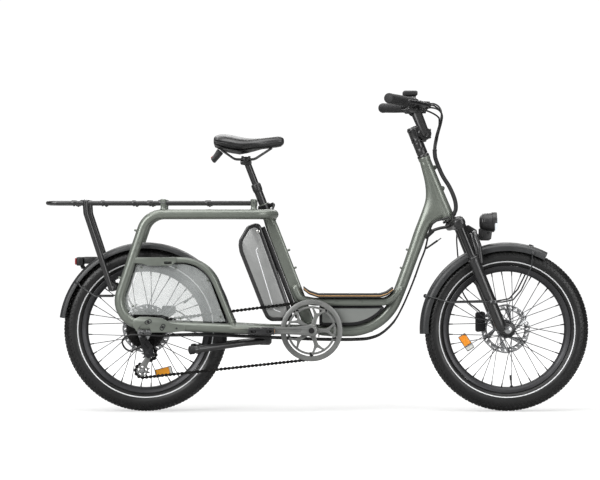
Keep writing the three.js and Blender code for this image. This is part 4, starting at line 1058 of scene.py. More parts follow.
def makeCrankset():
    x, z = crank["centre"]
    ring = plate([gearShape(x, z, crank["ringRadius"], crank["ringTeeth"], 3.6, 2.8), circle(x, z, 83, 64)], -51.1,
                 -48.9, 0.3)
    settle(ring, "chainring_teeth", "chainSteel", "crankset", ["chainring"])
    guard = spun([(83, -56.4), (83.6, -59), (85, -60.2), (97.4, -60.2), (99.4, -59), (99.8, -57.4), (99, -56),
                  (84, -55.8)], mm(x, 0, z), (0, 1, 0), 96, closed=True)
    inner = plate([circle(x, z, 78.4, 64), circle(x, z, 71.4, 64)], -59.4, -54.4, 0.8)
    spiderArm = [(10, -10), (24, -7.6), (40, -6.2), (50, -7.6), (61, -14.5), (72, -24.5), (76.5, -20), (66, -9.6),
                 (60, -3.4), (58, 0), (60, 3.4), (66, 9.6), (76.5, 20), (72, 24.5), (61, 14.5), (50, 7.6), (40, 6.2),
                 (24, 7.6), (10, 10)]
    arms = [plate([turnedShape(spiderArm, d, x, z)], -63, -55.4, 1.4) for d in (0, 72, 144, 216, 288)]
    lugs = []
    for d in crank["bolts"]:
        c, s = cos(radians(d)), sin(radians(d))
        lugs.append(plate([turnedShape([(70, -7), (85, -6), (85, 6), (70, 7)], d, x, z)], -59.4, -51.5, 1))
    hub = spun([(12.6, -47.5), (19, -47.5), (21, -49), (21, -58), (19.4, -60), (19.4, -66), (17.8, -67.4),
                (12.6, -67.4)], mm(x, 0, z), (0, 1, 0), 44, closed=True)
    near, nearCaps = crankArm(-1)
    settle([guard, inner, *arms, *lugs, hub, *near], "crank_right_and_guard", "greyAlloy", "crankset",
           ["crank_arm_right"])
    bolts = []
    for d in crank["bolts"]:
        c, s = cos(radians(d)), sin(radians(d))
        bolts.append(hexBolt(mm(x + 79 * c, -59.6, z + 79 * s), (0, -1, 0), 4.6, 2.4))
    far, farCaps = crankArm(1)
    axle = drum(x, z, -66, 66, 11.8, sides=28)
    settle([axle, *far], "crank_left", "greyAlloy", "crankset", ["crank_arm_left"])
    settle([*bolts, *nearCaps, *farCaps], "crank_bolts", "blackAlloy", "crankset")


def makePedal(side, name):
    x, z = crank["centre"][0] + side * crank["length"], crank["centre"][1]
    shape = roundShape([(x - 42, z - 7), (x - 34, z - 9.6), (x + 34, z - 9.6), (x + 42, z - 7), (x + 42, z + 7),
                        (x + 34, z + 9.6), (x - 34, z + 9.6), (x - 42, z + 7)], 4)
    ends = [plate([shape, slotShape(x - 25, z, 18, 9, 0), slotShape(x + 25, z, 18, 9, 0)], side * a, side * b, 1.2)
            for a, b in ((89, 94), (175, 181))]
    core = spun([(6.4, 88.4), (10, 88.4), (9.4, 96), (8.4, 120), (9.4, 174), (9.4, 180), (6.4, 180)], mm(x, 0, z),
                (0, side, 0), 24, closed=True)
    rails = []
    for across in (-1, 1):
        for at, width in ((39, 5), (22, 4)):
            rail = block(x + across * at - width / 2, x + across * at + width / 2, *sorted((side * 92, side * 178)),
                         z - 9.4, z + 9.4, 1.2, 2)
            rails.append(rail)
    ribs = [block(x - 39, x + 39, *sorted((side * (y - 1.5), side * (y + 1.5))), z - 6, z + 6, 0.8, 2)
            for y in (112, 135, 158)]
    settle([*ends, core, *rails, *ribs], "pedal_platform_" + name, "softPlastic", name + "_pedal",
           ["pedal_" + name])
    treads = []
    for across in (-1, 1):
        for at in (39, 22):
            for k in range(9):
                y = side * (98 + 9.3 * k)
                for up in (-1, 1):
                    treads.append(block(x + across * at - 2, x + across * at + 2, y - 2.6, y + 2.6,
                                        *sorted((z + up * 8.8, z + up * 10.2)), 0.5, 1))
    settle(treads, "pedal_treads_" + name, "gripRubber", name + "_pedal")
    lights = [block(x + a * 41.2 - 1, x + a * 41.2 + 1, *sorted((side * 112, side * 158)), z - 5.5, z + 5.5, 0.8, 2)
              for a in (-1, 1)]
    settle(lights, "pedal_reflectors_" + name, "reflectorAmber", name + "_pedal")


chainPitch = 12.7
# the four toothed wheels that the chain runs round, with the side that it passes on
chainWheels = [(-20, 263, 93, -50, -1), (-564, 134, 22.5, -62, -1), (-542, 188, 22.5, -62, 1),
               (-556, 265, 24.5, -62, -1)]


def chainLine():
    def runNormal(a, b):
        apart = hypot(b[0] - a[0], b[1] - a[1])
        return atan2(b[1] - a[1], b[0] - a[0]) - acos((a[4] * a[2] - b[4] * b[2]) / apart)
    raw = []
    for i, wheel in enumerate(chainWheels):
        before, after = chainWheels[i - 1], chainWheels[(i + 1) % 4]
        flip = pi if wheel[4] < 0 else 0
        start = runNormal(before, wheel) + flip
        sweep = runNormal(wheel, after) + flip - start
        while sweep * wheel[4] < 0:
            sweep += wheel[4] * 2 * pi
        while abs(sweep) > 2 * pi:
            sweep -= wheel[4] * 2 * pi
        raw += [mm(wheel[0] + wheel[2] * cos(start + sweep * k / 40), wheel[3], wheel[1]
                   + wheel[2] * sin(start + sweep * k / 40)) for k in range(41)]
    lengths = [0.0]
    for i in range(len(raw)):
        lengths.append(lengths[-1] + (raw[(i + 1) % len(raw)] - raw[i]).length)
    count = 2 * round(lengths[-1] * 1000 / chainPitch / 2)
    line, i = [], 0
    for k in range(count):
        want = lengths[-1] * k / count
        while lengths[i + 1] < want:
            i += 1
        share = (want - lengths[i]) / max(1e-9, lengths[i + 1] - lengths[i])
        line.append(raw[i].lerp(raw[(i + 1) % len(raw)], share))
    return line


def makeChain():
    line = chainLine()
    length = (line[1] - line[0]).length * 1000
    side = [*arc(length, 0, 5.3, -115, 115, 6), (length / 2, 2.6), *arc(0, 0, 5.3, 65, 295, 6), (length / 2, -2.6)]
    linkPlate = plate([side], -0.5, 0.5, 0.12)
    pin = rod(mm(0, -4.0, 0), mm(0, 4.0, 0), 1.9, sides=8)
    roller = rod(mm(0, -1.5, 0), mm(0, 1.5, 0), 3.5, sides=10)
    parts = []
    for k, point in enumerate(line):
        on = line[(k + 1) % len(line)] - point
        turn = Matrix.Translation(point) @ Matrix.Rotation(-atan2(on.z, on.x), 4, "Y")
        gap = 2.9 if k % 2 else 1.9
        for s in (-1, 1):
            parts.append(copyOf(linkPlate, turn @ Matrix.Translation((0, s * gap / 1000, 0))))
        parts += [copyOf(pin, turn), copyOf(roller, turn)]
    for spare in (linkPlate, pin, roller):
        bpy.data.objects.remove(spare)
    settle(parts, "chain_links", "chainSteel", "frame", ["chain"])


def makeCassette():
    x, z = -556, 265
    cogs = []
    for i, (pitch, teeth) in enumerate(((24.5, 12), (28.5, 14), (32.6, 16), (36.6, 18), (42.6, 21), (50.7, 25),
                                        (60.8, 30))):
        y = -62.4 + 4.6 * i if i else -62.6
        shape = gearShape(x, z, pitch, teeth, 3.4, 2.4)
        holes = []
        if pitch > 36:
            for k in range(6):
                a = radians(60 * k + 12 * i)
                r = (pitch + 19) / 2
                holes.append(slotShape(x + r * cos(a), z + r * sin(a), (pitch - 20) * 0.62, 7, 60 * k + 12 * i, 4))
        cogs.append(plate([shape, circle(x, z, 15, 24), *holes], y - 0.9, y + 0.9, 0.25))
    body = spun([(8, -65.4), (15, -65.4), (16.4, -64.6), (16.4, -33), (8, -33)], mm(x, 0, z), (0, 1, 0), 32,
                closed=True)
    knurls = ringOf(block(-0.8, 0.8, -66.4, -64.6, 10.5, 14.6, 0.3, 1), 12, (0, 0, 0))
    moveBy(knurls, mm(x, 0, z))
    settle([*cogs, body, knurls], "cassette_cogs", "chainSteel", "sprockets", ["cassette"])


def makePulleys():
    for name, body in (("guide", "upper_pulley"), ("tension", "lower_pulley")):
        x, z = pulleyPlaces[name]
        holes = []
        for k in range(5):
            a = radians(72 * k + 18)
            holes.append(slotShape(x + 12.4 * cos(a), z + 12.4 * sin(a), 8, 5, 72 * k + 108, 4))
        wheel = plate([gearShape(x, z, 22.5, 11, 4.6, 2.6), circle(x, z, 3.4, 16), *holes], -63.2, -60.8, 0.35)
        hub = spun([(3.4, -4), (7, -4), (7.6, -3.2), (7.6, 3.2), (7, 4), (3.4, 4)], mm(x, -62, z), (0, 1, 0), 24,
                   closed=True)
        settle([wheel, hub], name + "_pulley_toothed", "softPlastic", body, [name + "_pulley"])


def makeDerailleur():
    (gx, gz), (tx, tz) = pulleyPlaces["guide"], pulleyPlaces["tension"]
    cageShape = roundShape([(gx - 9, gz - 6), (gx - 6, gz + 10), (gx + 8, gz + 10), (gx + 10, gz - 4),
                            (tx + 15, tz + 14), (tx + 19, tz + 2), (tx + 13, tz - 12), (tx, tz - 19),
                            (tx - 14, tz - 12), (tx - 19, tz + 2), (tx - 8, tz + 17)], 6)
    windows = [circle(tx + 11 * cos(radians(72 * k + 18)), tz + 11 * sin(radians(72 * k + 18)), 4.4, 16)
               for k in range(5)]
    plates = [plate([cageShape, *windows], y - 1, y + 1, 0.4) for y in (-68.5, -55.5)]
    pins = [drum(px, pz, -69, -55, 3, sides=16) for px, pz in ((gx, gz), (tx, tz))]
    settle([*plates, *pins], "derailleur_cage_plates", "greyAlloy", "cage", ["derailleur_cage"])
    star = []
    for k in range(12):
        r = 8.4 if k % 2 else 4.6
        star.append((tx + r * cos(k * pi / 6), tz + r * sin(k * pi / 6)))
    caps = [plate([roundShape(star, 1.4, 3)], -70.8, -69.4, 0.4), hexBolt(mm(tx, -70.6, tz), (0, -1, 0), 3, 1.6)]
    settle(caps, "derailleur_cage_star", "brightSteel", "cage")
    link = roundShape([(-575, 246), (-556, 248), (-530, 214), (-530, 186), (-546, 178), (-560, 200)], 7)
    outer = plate([link, slotShape(-548, 214, 24, 7, -48)], -87.6, -82.4, 1.6)
    inner = plate([link], -82, -78.4, 1)
    knuckle = spun([(0, -91), (6, -91), (9.4, -90), (10.4, -88), (10.4, -77), (9, -76.2), (0, -76.2)],
                   mm(-562, 0, 238), (0, 1, 0), 28)
    pivot = spun([(0, -88.6), (7, -88.6), (12.4, -87.4), (13.4, -84), (13.4, -72), (12, -70.2), (0, -70.2)],
                 mm(gx, 0, gz), (0, 1, 0), 32)
    arm = tube(flowing([mm(-596, -86, 200), mm(-582, -87, 206), mm(-566, -86, 212)]), 4.2, 12)
    screws = [hexBolt(mm(-550, -88, 230), (0, -1, 0), 2.4, 1.6), hexBolt(mm(-534, -88, 206), (0, -1, 0), 2.4, 1.6),
              hexBolt(mm(-562, -91, 238), (0, -1, 0), 4, 1.6), hexBolt(mm(gx, -88.6, gz), (0, -1, 0), 4.4, 1.6)]
    settle([outer, inner, knuckle, pivot, arm, *screws], "derailleur_links", "blackAlloy", "frame",
           ["derailleur_body"])


batteryOutline = [(-189, 614), (-228, 599), (-254, 554), (-255.5, 536), (-252, 514), (-178, 325), (-167, 303),
                  (-152, 292), (-78, 292), (-84, 324)]


def makeBattery():
    outline = roundShape(batteryOutline, 22, 6)
    body = plate([outline], -45, 45, 7)
    body = modify(body, "WEIGHTED_NORMAL")
    seams = plate([roundShape(insetShape(batteryOutline, -0.3), 22, 6)], -1.2, 1.2, 0.5)
    settle([body, seams], "battery_shell", "blackPaint", "battery", ["battery_case"])
    shape = insetShape(batteryOutline, 12.5)
    panels = [plate([roundShape(shape, 15, 6)], side * 43, side * 46, 1.4) for side in (-1, 1)]
    # a near-white raised line on each grey panel: its colour is a painted highlight where the embossed ridge catches
    # the light
    line = [mm(-193, -46, 529), mm(-199, -46, 521), mm(-141, -46, 330), mm(-120, -46, 322)]
    ridge = tube(bent([(line[0], 0), (line[1], 6), (line[2], 12), (line[3], 0)], 5), 1.5, 8)
    settle(bothSides(ridge), "battery_ridge_painted_highlight", "reflectiveStripeAndPaintedHighlight", "battery")
    settle(panels, "battery_panels", "batteryGrey", "battery")
    handle = roundShape([(-236, 560), (-222, 592), (-198, 604), (-196, 597), (-216, 586), (-229, 558)], 3)
    grip = plate([handle], -20, 20, 2)
    settle(grip, "battery_handle", "softPlastic", "battery")
    lock = spun([(0, -49), (4.6, -49), (6.0, -48), (6.2, -46), (6.2, -31), (0, -31)], mm(-192, 0, 582), (0, 1, 0), 28)
    settle(lock, "battery_lock_barrel", "keySilver", "battery_key", ["battery_lock"])
    slit = block(-192.6, -191.4, -49.25, -48.7, 578.4, 585.6, 0.1, 1)
    settle(slit, "battery_lock_slit", "softPlastic", "battery_key")
    behind = seatAcross * 0.0276
    rings = []
    for z, reach, half in ((312, 6.2, 23), (317, 6.9, 24.6), (600, 6.9, 24.6), (606, 6.2, 23)):
        centre = onSeatTube(z) - behind
        rings.append(ringAcross(centre - seatAcross * reach / 1000, centre + seatAcross * reach / 1000, half, 36, 6))
    rail = loft(rings)
    ribs = []
    for side in (-1, 1):
        low, high = onSeatTube(330, side * 23) - behind, onSeatTube(590, side * 23) - behind
        ribs.append(tube([low, high], 1.6, 8))
    settle([rail, *ribs], "battery_dock", "softPlastic", "frame", ["battery_rail"])


controllerOutline = [(8, 280), (101.7, 280.4), *arc(101.7, 425, 144.6, 276, 321, 8), (206, 340), (8, 340)]


def makeController():
    case = plate([roundShape(insetShape(controllerOutline, -2.5), 6, 4)], -24.5, 24.5, 2.4)
    settle(case, "controller_shell", "blackAlloy", "frame", ["controller_case"])
    shape = roundShape(insetShape(controllerOutline, 7), 5, 4)
    panels = [plate([shape], s * 24, s * 25.6, 0.8) for s in (-1, 1)]
    settle(panels, "controller_panels", "caseGrey", "frame")


deckTop = [(-46, 404), (-28, 390), (2, 380), (202, 380), (224, 387), (243, 401)]


def makeDeck():
    top = [(p.x * 1000, p.z * 1000) for p in bent([(mm(x, 0, z), 26) for x, z in deckTop], 5)]
    board = plate([[(x, z - 4) for x, z in top] + [(x, z - 7.4) for x, z in reversed(top)]], -57, 57, 0.5)
    settle(board, "footboard_plywood", "plywoodEdge", "frame", ["deck_board"])
    sheet = plate([[(x, z + 0.9) for x, z in top] + [(x, z - 4.1) for x, z in reversed(top)]], -57, 57, 0.8)
    underSheet = plate([[(x, z - 7.3) for x, z in top] + [(x, z - 11.8) for x, z in reversed(top)]], -56, 56, 0.8)
    settle([sheet, underSheet], "footboard_grip", "gripSheet", "frame")
    screws = [hexBolt(mm(x, y, 380.8), (0, 0, 1), 4.6, 1.6) for x in (20, 105, 190) for y in (-32, 32)]
    settle(screws, "footboard_screws", "brightSteel", "frame")


def makeStand():
    leg = tube(bent([(mm(-161.5, -22, 229), 0), (mm(-236, -26, 222), 40), (mm(-396, -86.5, 202), 0)], 10), 11, 20)
    eye = drum(-161.5, 229, -33, -10, 12.5, sides=28, edge=1.5)
    toe = weld(mm(-384, -82, 203.6), (-0.91, -0.36, -0.12), 11, 1.4, 20)
    near = bothSides(joined([leg, eye, toe]))
    bridge = rod(mm(-214, -24, 224), mm(-214, 24, 224), 7)
    pin = drum(-161.5, 229, -34, 34, 5, sides=20)
    settle([near, bridge, pin], "stand_legs", "blackPaint", "stand", ["kickstand_legs"])
    foot = spun([(11.2, 0), (13, 1), (13.4, 4), (13.4, 15), (11, 17.4), (0, 17.4)], mm(-395.6, -86.4, 202.1),
                (-0.93, -0.36, -0.115), 24)
    grooves = [weld(mm(-395.6 - 4.6 * k, -86.4 - 1.8 * k, 202.1 - 0.55 * k), (-0.93, -0.36, -0.115), 13.2, 0.9, 18)
               for k in (1, 2, 3)]
    settle(bothSides(joined([foot, *grooves])), "stand_feet", "gripRubber", "stand")
    top = block(-205, -150, -43.5, 43.5, 243.4, 248.4, 2)
    body = plate([roundShape([(-199, 243.5), (-148, 243.5), (-149, 221), (-156, 214), (-186, 214), (-199, 226)], 6),
                  circle(-161.5, 229, 5.6, 20)], -9, 9, 1.4)
    bolts = [hexBolt(mm(x, y, 243.4), (0, 0, -1), 5, 4) for x in (-196, -160) for y in (-32, 32)]
    settle([top, body, *bolts], "stand_mount", "blackPaint", "frame", ["stand_bracket"])
    coils = []
    for side in (-1, 1):
        a, b = mm(-170, side * 12.4, 238), mm(-212, side * 15, 228)
        axis = (b - a).normalized()
        one, two = axis.orthogonal().normalized(), axis.cross(axis.orthogonal()).normalized()
        turns = 13
        line = [a + (b - a) * k / (turns * 10) + (one * cos(k * pi / 5) + two * sin(k * pi / 5)) * 0.0036
                for k in range(turns * 10 + 1)]
        coils.append(tube(line, 0.8, 6))
    settle(coils, "stand_springs", "brightSteel", "stand")


# along the saddle: place, half width, underside, top at the middle, how square the section is
saddleRings = [(-337, 20, 866, 884, 2.2), (-333, 52, 856, 890, 2.3), (-322, 78, 850, 895, 2.4),
               (-302, 92, 841, 897.5, 2.4), (-278, 95, 836, 894, 2.4), (-252, 86, 832, 888, 2.3),
               (-228, 66, 836, 884, 2.3), (-205, 46, 842, 883.5, 2.3), (-180, 32, 849, 885, 2.3),
               (-155, 25.5, 852, 888, 2.4), (-132, 22.5, 855, 890.5, 2.4), (-117, 19.5, 858, 889.5, 2.2),
               (-110.5, 13, 863, 885, 2.1), (-108.4, 5, 870, 878, 2.0)]


def makeSaddle():
    rings = []
    for x, half, low, high, power in saddleRings:
        middle, reach = (low + high) / 2, (high - low) / 2
        ring = []
        for k in range(40):
            a = 2 * pi * k / 40
            c, s = cos(a), sin(a)
            y = copysign(abs(s) ** (2 / power), s) * half
            up = copysign(abs(c) ** (2 / power), c) * reach
            if c > 0:
                up -= max(0.0, abs(y) / half - 0.25) ** 2 * half * 0.16  # the top falls away at the sides
                up -= 2.6 * exp(-(y / 9) ** 2) * (1 if -310 < x < -150 else 0.2)  # shallow middle channel
            elif half > 40:
                up += max(0.0, abs(y) / half - 0.2) * 7  # wings sit higher than the middle
            ring.append(mm(x, y, middle + up))
        rings.append(ring)
    pad = loft(rings)
    pad = modify(pad, "SUBSURF", levels=2, render_levels=2)
    settle(pad, "saddle_pad", "saddleVinyl", "seat", ["saddle"], 60)
    seamLine = []
    for x, half, low, high, power in saddleRings[1:-1]:
        a = 0.66
        y = abs(sin(acos(a))) ** (2 / power) * half
        z = (low + high) / 2 + a ** (2 / power) * (high - low) / 2 - max(0.0, y / half - 0.25) ** 2 * half * 0.16
        seamLine.append(mm(x, y + 0.3, z + 0.2))
    loop = flowing(seamLine, 6)
    seam = tube(loop, 0.75, 8)
    settle(bothSides(seam), "saddle_seams", "softPlastic", "seat")
    edge = [mm(x, half * 0.985, (low * 0.62 + high * 0.38) + (2.5 if half > 40 else 0))
            for x, half, low, high, power in saddleRings[1:-1]]
    welt = tube(flowing(edge, 6), 1.5, 10)
    shellRings = []
    for x, half, low, high, power in saddleRings[1:-2]:
        ring = []
        for k in range(24):
            a = 2 * pi * k / 24
            ring.append(mm(x, sin(a) * half * 0.8, low + 3.4 + cos(a) * 4.6 + (abs(sin(a)) * 5 if half > 40 else 0)))
        shellRings.append(ring)
    under = loft(shellRings)
    tail = plate([roundShape([(-324, 850), (-305, 835), (-333, 803), (-339, 806), (-346, 816), (-331, 838)], 4)], -13,
                 13, 3)
    tailLight = block(-344, -331, -10, 10, 812, 826, 3)
    tailLight.data.transform(turnAbout(mm(-338, 0, 819), radians(-38)))
    settle([bothSides(welt), under, tail], "saddle_base", "softPlastic", "seat")
    settle(tailLight, "saddle_tail_reflector", "lensRed", "seat")


seatPin = (-147.5, 668)  # where the clamp's bolt crosses, ahead of the post


def makePosts():
    outer = spun([(11.3, 0), (13.6, 0), (13.6, 245), (15.2, 247), (15.4, 252), (15.4, 268), (14.4, 271), (12, 272.6),
                  (11.3, 272.6), (11.3, 90)], onSeatTube(482), seatUp, 44)
    knurl = block(-0.8, 0.8, 14.9, 15.8, -8, 8, 0.3, 1)
    turned = joined([knurl] + [copyOf(knurl, Matrix.Rotation(2 * pi * k / 24, 4, "Z")) for k in range(1, 24)])
    lean = Vector((0, 0, 1)).rotation_difference(seatUp).to_matrix().to_4x4()
    turned.data.transform(Matrix.Translation(onSeatTube(482) + seatUp * 0.26) @ lean)
    settle([outer, turned], "seatpost_lower", "blackPaint", "post", ["seatpost_outer"])
    inner = rod(onSeatTube(640), onSeatTube(802), 11, sides=36)
    yoke = block(-250, -214, -20, 20, 798, 812, 4)
    cap = block(-247, -217, -27, 27, 816, 823, 2.6)
    cradle = [drum(-232, 815, s * 14, s * 27, 8.5, sides=28, edge=1.2) for s in (-1, 1)]
    bolts = [hexBolt(mm(-232, s * 27, 815), (0, s, 0), 5, 3) for s in (-1, 1)]
    bolts += [hexBolt(mm(x, 0, 823), (0, 0, 1), 4, 3) for x in (-243, -221)]
    lever = rod(mm(-232, 0, 797), mm(-232, 0, 806), 12, 13, 28)
    settle([inner, yoke, cap, *cradle, *bolts, lever], "seatpost_upper", "blackPaint", "seat",
           ["seatpost_inner"])
    rail = tube(bent([(mm(-312, -30, 846), 0), (mm(-268, -22, 815), 30), (mm(-205, -22, 815), 30),
                      (mm(-148, -10, 852), 0)], 10), 3.5, 14)
    settle(bothSides(rail), "saddle_rails", "blackPaint", "seat")
    band = spun([(17.9, -7.5), (20.4, -7.5), (21.3, -6.4), (21.3, 6.4), (20.4, 7.5), (17.9, 7.5)], onSeatTube(659.5),
                seatUp, 44, closed=True)
    ears = block(seatPin[0] - 8, seatPin[0] + 7, -9, 9, seatPin[1] - 6.5, seatPin[1] + 6.5, 2.2, lean=radians(-21))
    pin = drum(seatPin[0] + 1, seatPin[1], -14, 14, 4, sides=20)
    nut = drum(seatPin[0] + 1, seatPin[1], 10, 15, 7.4, sides=28, edge=1)
    handle = tube(flowing([mm(seatPin[0] + 1, -12, seatPin[1]), mm(seatPin[0] + 6, -19, seatPin[1] + 1),
                           mm(seatPin[0] + 4, -24, seatPin[1] - 8), mm(seatPin[0] - 4, -25, seatPin[1] - 28)]), 4, 14)
    settle([band, ears, pin, nut, handle], "seat_clamp_lever", "blackAlloy", "frame", ["seat_clamp"])


print("drivetrain")
makeCrankset()
makePedal(-1, "right")
makePedal(1, "left")
makeChain()
makeCassette()
makePulleys()
makeDerailleur()
print("battery, controller and footboard")
makeBattery()
makeController()
makeDeck()
makeStand()
print("saddle and posts")
makeSaddle()
makePosts()

rack = {"y": 80, "z": 673, "radius": 6.8, "front": -206, "tail": -869, "bars": (-779, -588, -347, -206)}


def makeRack():
    y, z = rack["y"], rack["z"]
    rail = tube(bent([(mm(rack["front"], -y, z), 0), (mm(rack["tail"], -y, z), 34), (mm(rack["tail"], y, z), 34),
                      (mm(rack["front"], y, z), 0)], 10), rack["radius"], 20)
    bars = [rod(mm(x, -y, z), mm(x, y, z), 5.6) for x in rack["bars"]]
    straps = [block(x - 14, x + 14, -y - 3, y + 3, z + 5.2, z + 9.6, 1.6) for x in (-748, -498)]
    pads = []
    for x, half in ((-782, 8), (-590, 6), (-538, 9), (-500, 9), (-352, 9), (-690, 6)):
        for side in (-1, 1):
            pads.append(drumAlong(x, half, side * y, z))
    stay = tube(bent([(mm(-745, -y, z), 0), (mm(-743, -y, 640), 34), (mm(-661, -y, 392), 0)], 10), 9.5, 22)
    cap = spun([(0, 0), (8, 0), (9.8, -2), (9.8, -8), (0, -8)], mm(-745, -y, z + 8), (0, 0, 1), 24)
    tab = plate([roundShape([(-672, 412), (-652, 416), (-644, 392), (-664, 388)], 5)], -y - 3, -y + 3, 0.8)
    whole = joined([rail, *bars, *straps, *pads, bothSides(joined([stay, cap, tab]))])
    settle(whole, "rack_rails", "blackPaint", "frame", ["rack"])
    posts = []
    for x in (rack["front"], -496):
        for side in (-1, 1):
            posts.append(spun([(0, 12.5), (7.6, 12.5), (10, 10.4), (10, -6), (8.2, -9), (8.2, -17), (11, -21.2),
                               (0, -21.2)], mm(x, side * 82, z), (0, 0, 1), 28))
    settle(posts, "rack_posts", "sagePaint", "frame")
    bolts = [hexBolt(mm(x, s * 91.6, z), (0, s, 0), 3.4, 2.4) for x in (rack["front"], -496) for s in (-1, 1)]
    bolts += [hexBolt(mm(-658, s * 83, 401), (0, s, 0), 5, 4) for s in (-1, 1)]
    bolts += [hexBolt(mm(x, s * 60, z + 9.6), (0, 0, 1), 3.4, 2) for x in (-748, -498) for s in (-1, 1)]
    settle(bolts, "rack_bolts", "brightSteel", "frame")


def drumAlong(x, half, y, z):
    # a short clamp round a rack tube, with a small foot under it
    ring = spun([(6.4, -half), (8.2, -half), (8.8, -half + 1), (8.8, half - 1), (8.2, half), (6.4, half)], mm(x, y, z),
                (1, 0, 0), 24, closed=True)
    foot = block(x - 3, x + 3, y - 3, y + 3, z - 11, z - 7, 1, 2)
    return joined([ring, foot])


def capEnds(obj):
    pick(obj)
    bpy.ops.object.mode_set(mode="EDIT")
    bpy.ops.mesh.select_all(action="DESELECT")
    bpy.ops.mesh.select_non_manifold(extend=False, use_wire=False, use_multi_face=False, use_non_contiguous=False,
                                     use_verts=False)
    bpy.ops.mesh.edge_face_add()
    bpy.ops.mesh.select_all(action="SELECT")
    bpy.ops.mesh.normals_make_consistent(inside=False)
    bpy.ops.object.mode_set(mode="OBJECT")
    return obj


def mudguardShell(centre, outer, lip, half, start, end):
    def section(shrink):
        points = []
        for k in range(19):
            a = radians(-90 + 10 * k)
            y = copysign(abs(sin(a)) ** 0.8, sin(a)) * (half - shrink)
            points.append((lip + (outer - shrink - lip) * cos(a) ** 0.55 if k not in (0, 18) else lip, y))
        return points
    profile = section(0) + list(reversed(section(2.4)))
    shell = spun(profile, centre, (0, 1, 0), 72, radians(end - start), closed=True)
    shell.data.transform(turnAbout(centre, -radians(start - 90)))
    return capEnds(shell)


def makeRearMudguard():
    shell = mudguardShell(wheelCentres["Rear"], 281.5, 262, 38, 3, 172)
    stay = tube(bent([(mm(-773, -36.5, 416), 0), (mm(-766, -46, 405), 8), (mm(-714, -80, 373), 14),
                      (mm(-655, -84, 373), 0)], 5), 2.5, 12)
    button = spun([(0, 2.4), (4.6, 2.4), (6.6, 1), (6.6, -1.4), (0, -1.4)], mm(-777, -38.4, 418), (-0.4, -0.9, 0.1), 20)
    foot = block(-276, -267, -16, 16, 272, 300, 1.5)
    settle([shell, bothSides(joined([stay, button])), foot], "rear_mudguard_shell", "mudguardPlastic", "frame",
           ["rear_mudguard"])
    case = block(-779, -757, -33, 33, 471, 499, 4)
    arm = plate([roundShape([(-758, 492), (-716, 495), (-706, 483), (-716, 478), (-738, 479), (-758, 476)], 3)], -15,
                15, 1.4)
    wedge = plate([roundShape([(-770, 472), (-756, 472), (-750, 462), (-764, 460)], 2.4)], -9, 9, 1)
    case = joined([case, block(-757, -714, -21, 21, 477, 500, 4)])
    ribs = [block(-776.5 + 5 * k, -774.5 + 5 * k, -34, 34, 474, 496, 0.6, 1) for k in range(4)]
    bolts = [hexBolt(mm(-728, s * 15, 487), (0, s, 0), 3.6, 2.4) for s in (-1, 1)]
    settle([case, arm, wedge, *ribs, *bolts], "rear_lamp_case", "softPlastic", "frame")
    lens = block(-784, -777, -30, 30, 474, 496, 3)
    settle(lens, "rear_lamp_lens", "lensRed", "frame")


frontStay = [(694, 35, 515), (690, 44, 470), (672, 58, 430), (654, 68, 393), (627, 78, 362), (591, 84.8, 355),
             (537, 84.8, 355), (426, 60, 353), (366, 40, 370), (352, 35, 372)]


def makeFrontMudguard():
    shell = mudguardShell(wheelCentres["Front"], 281.5, 254, 37, 62, 183)
    stay = tube(bent([(mm(x, -y, z), 9) for x, y, z in frontStay], 4), 2.5, 12)
    clamp = block(550, 576, -88.5, -78, 349, 361, 3)
    buttons = [spun([(0, 2.4), (4.6, 2.4), (6.6, 1), (6.6, -1.4), (0, -1.4)], mm(x, y, z), axis, 20)
               for x, y, z, axis in ((351, -38.6, 372, (-0.3, -1, 0)), (696, -38, 512, (0.3, -1, 0.2)))]
    flap = plate([roundShape([(690, 533), (718, 522), (741, 515), (722, 502), (702, 509), (692, 519)], 3)], -24, 24,
                 1.2)
    tab = plate([roundShape([(686, 541), (700, 536), (698, 528), (684, 533)], 2)], -9, 9, 1)
    settle([shell, flap, tab, bothSides(joined([stay, clamp, *buttons]))], "front_mudguard_shell", "mudguardPlastic",
           "fork_lower", ["front_mudguard"])
    bolts = [hexBolt(mm(x, s * 88, 355), (0, s, 0), 3.4, 2) for x in (556, 570) for s in (-1, 1)]
    settle(bolts, "front_stay_bolts", "brightSteel", "fork_lower")


legY = 64
# across the crown from its middle: to the side, ahead of the steering axis, reach, half height
crownHalf = [(0, 3, 26, 16), (24, 8, 24, 15), (44, 18, 21, 14.5), (64, 22, 22.5, 16), (76, 22, 20, 14.5),
             (82, 22, 15, 12), (84, 22, 7, 8)]


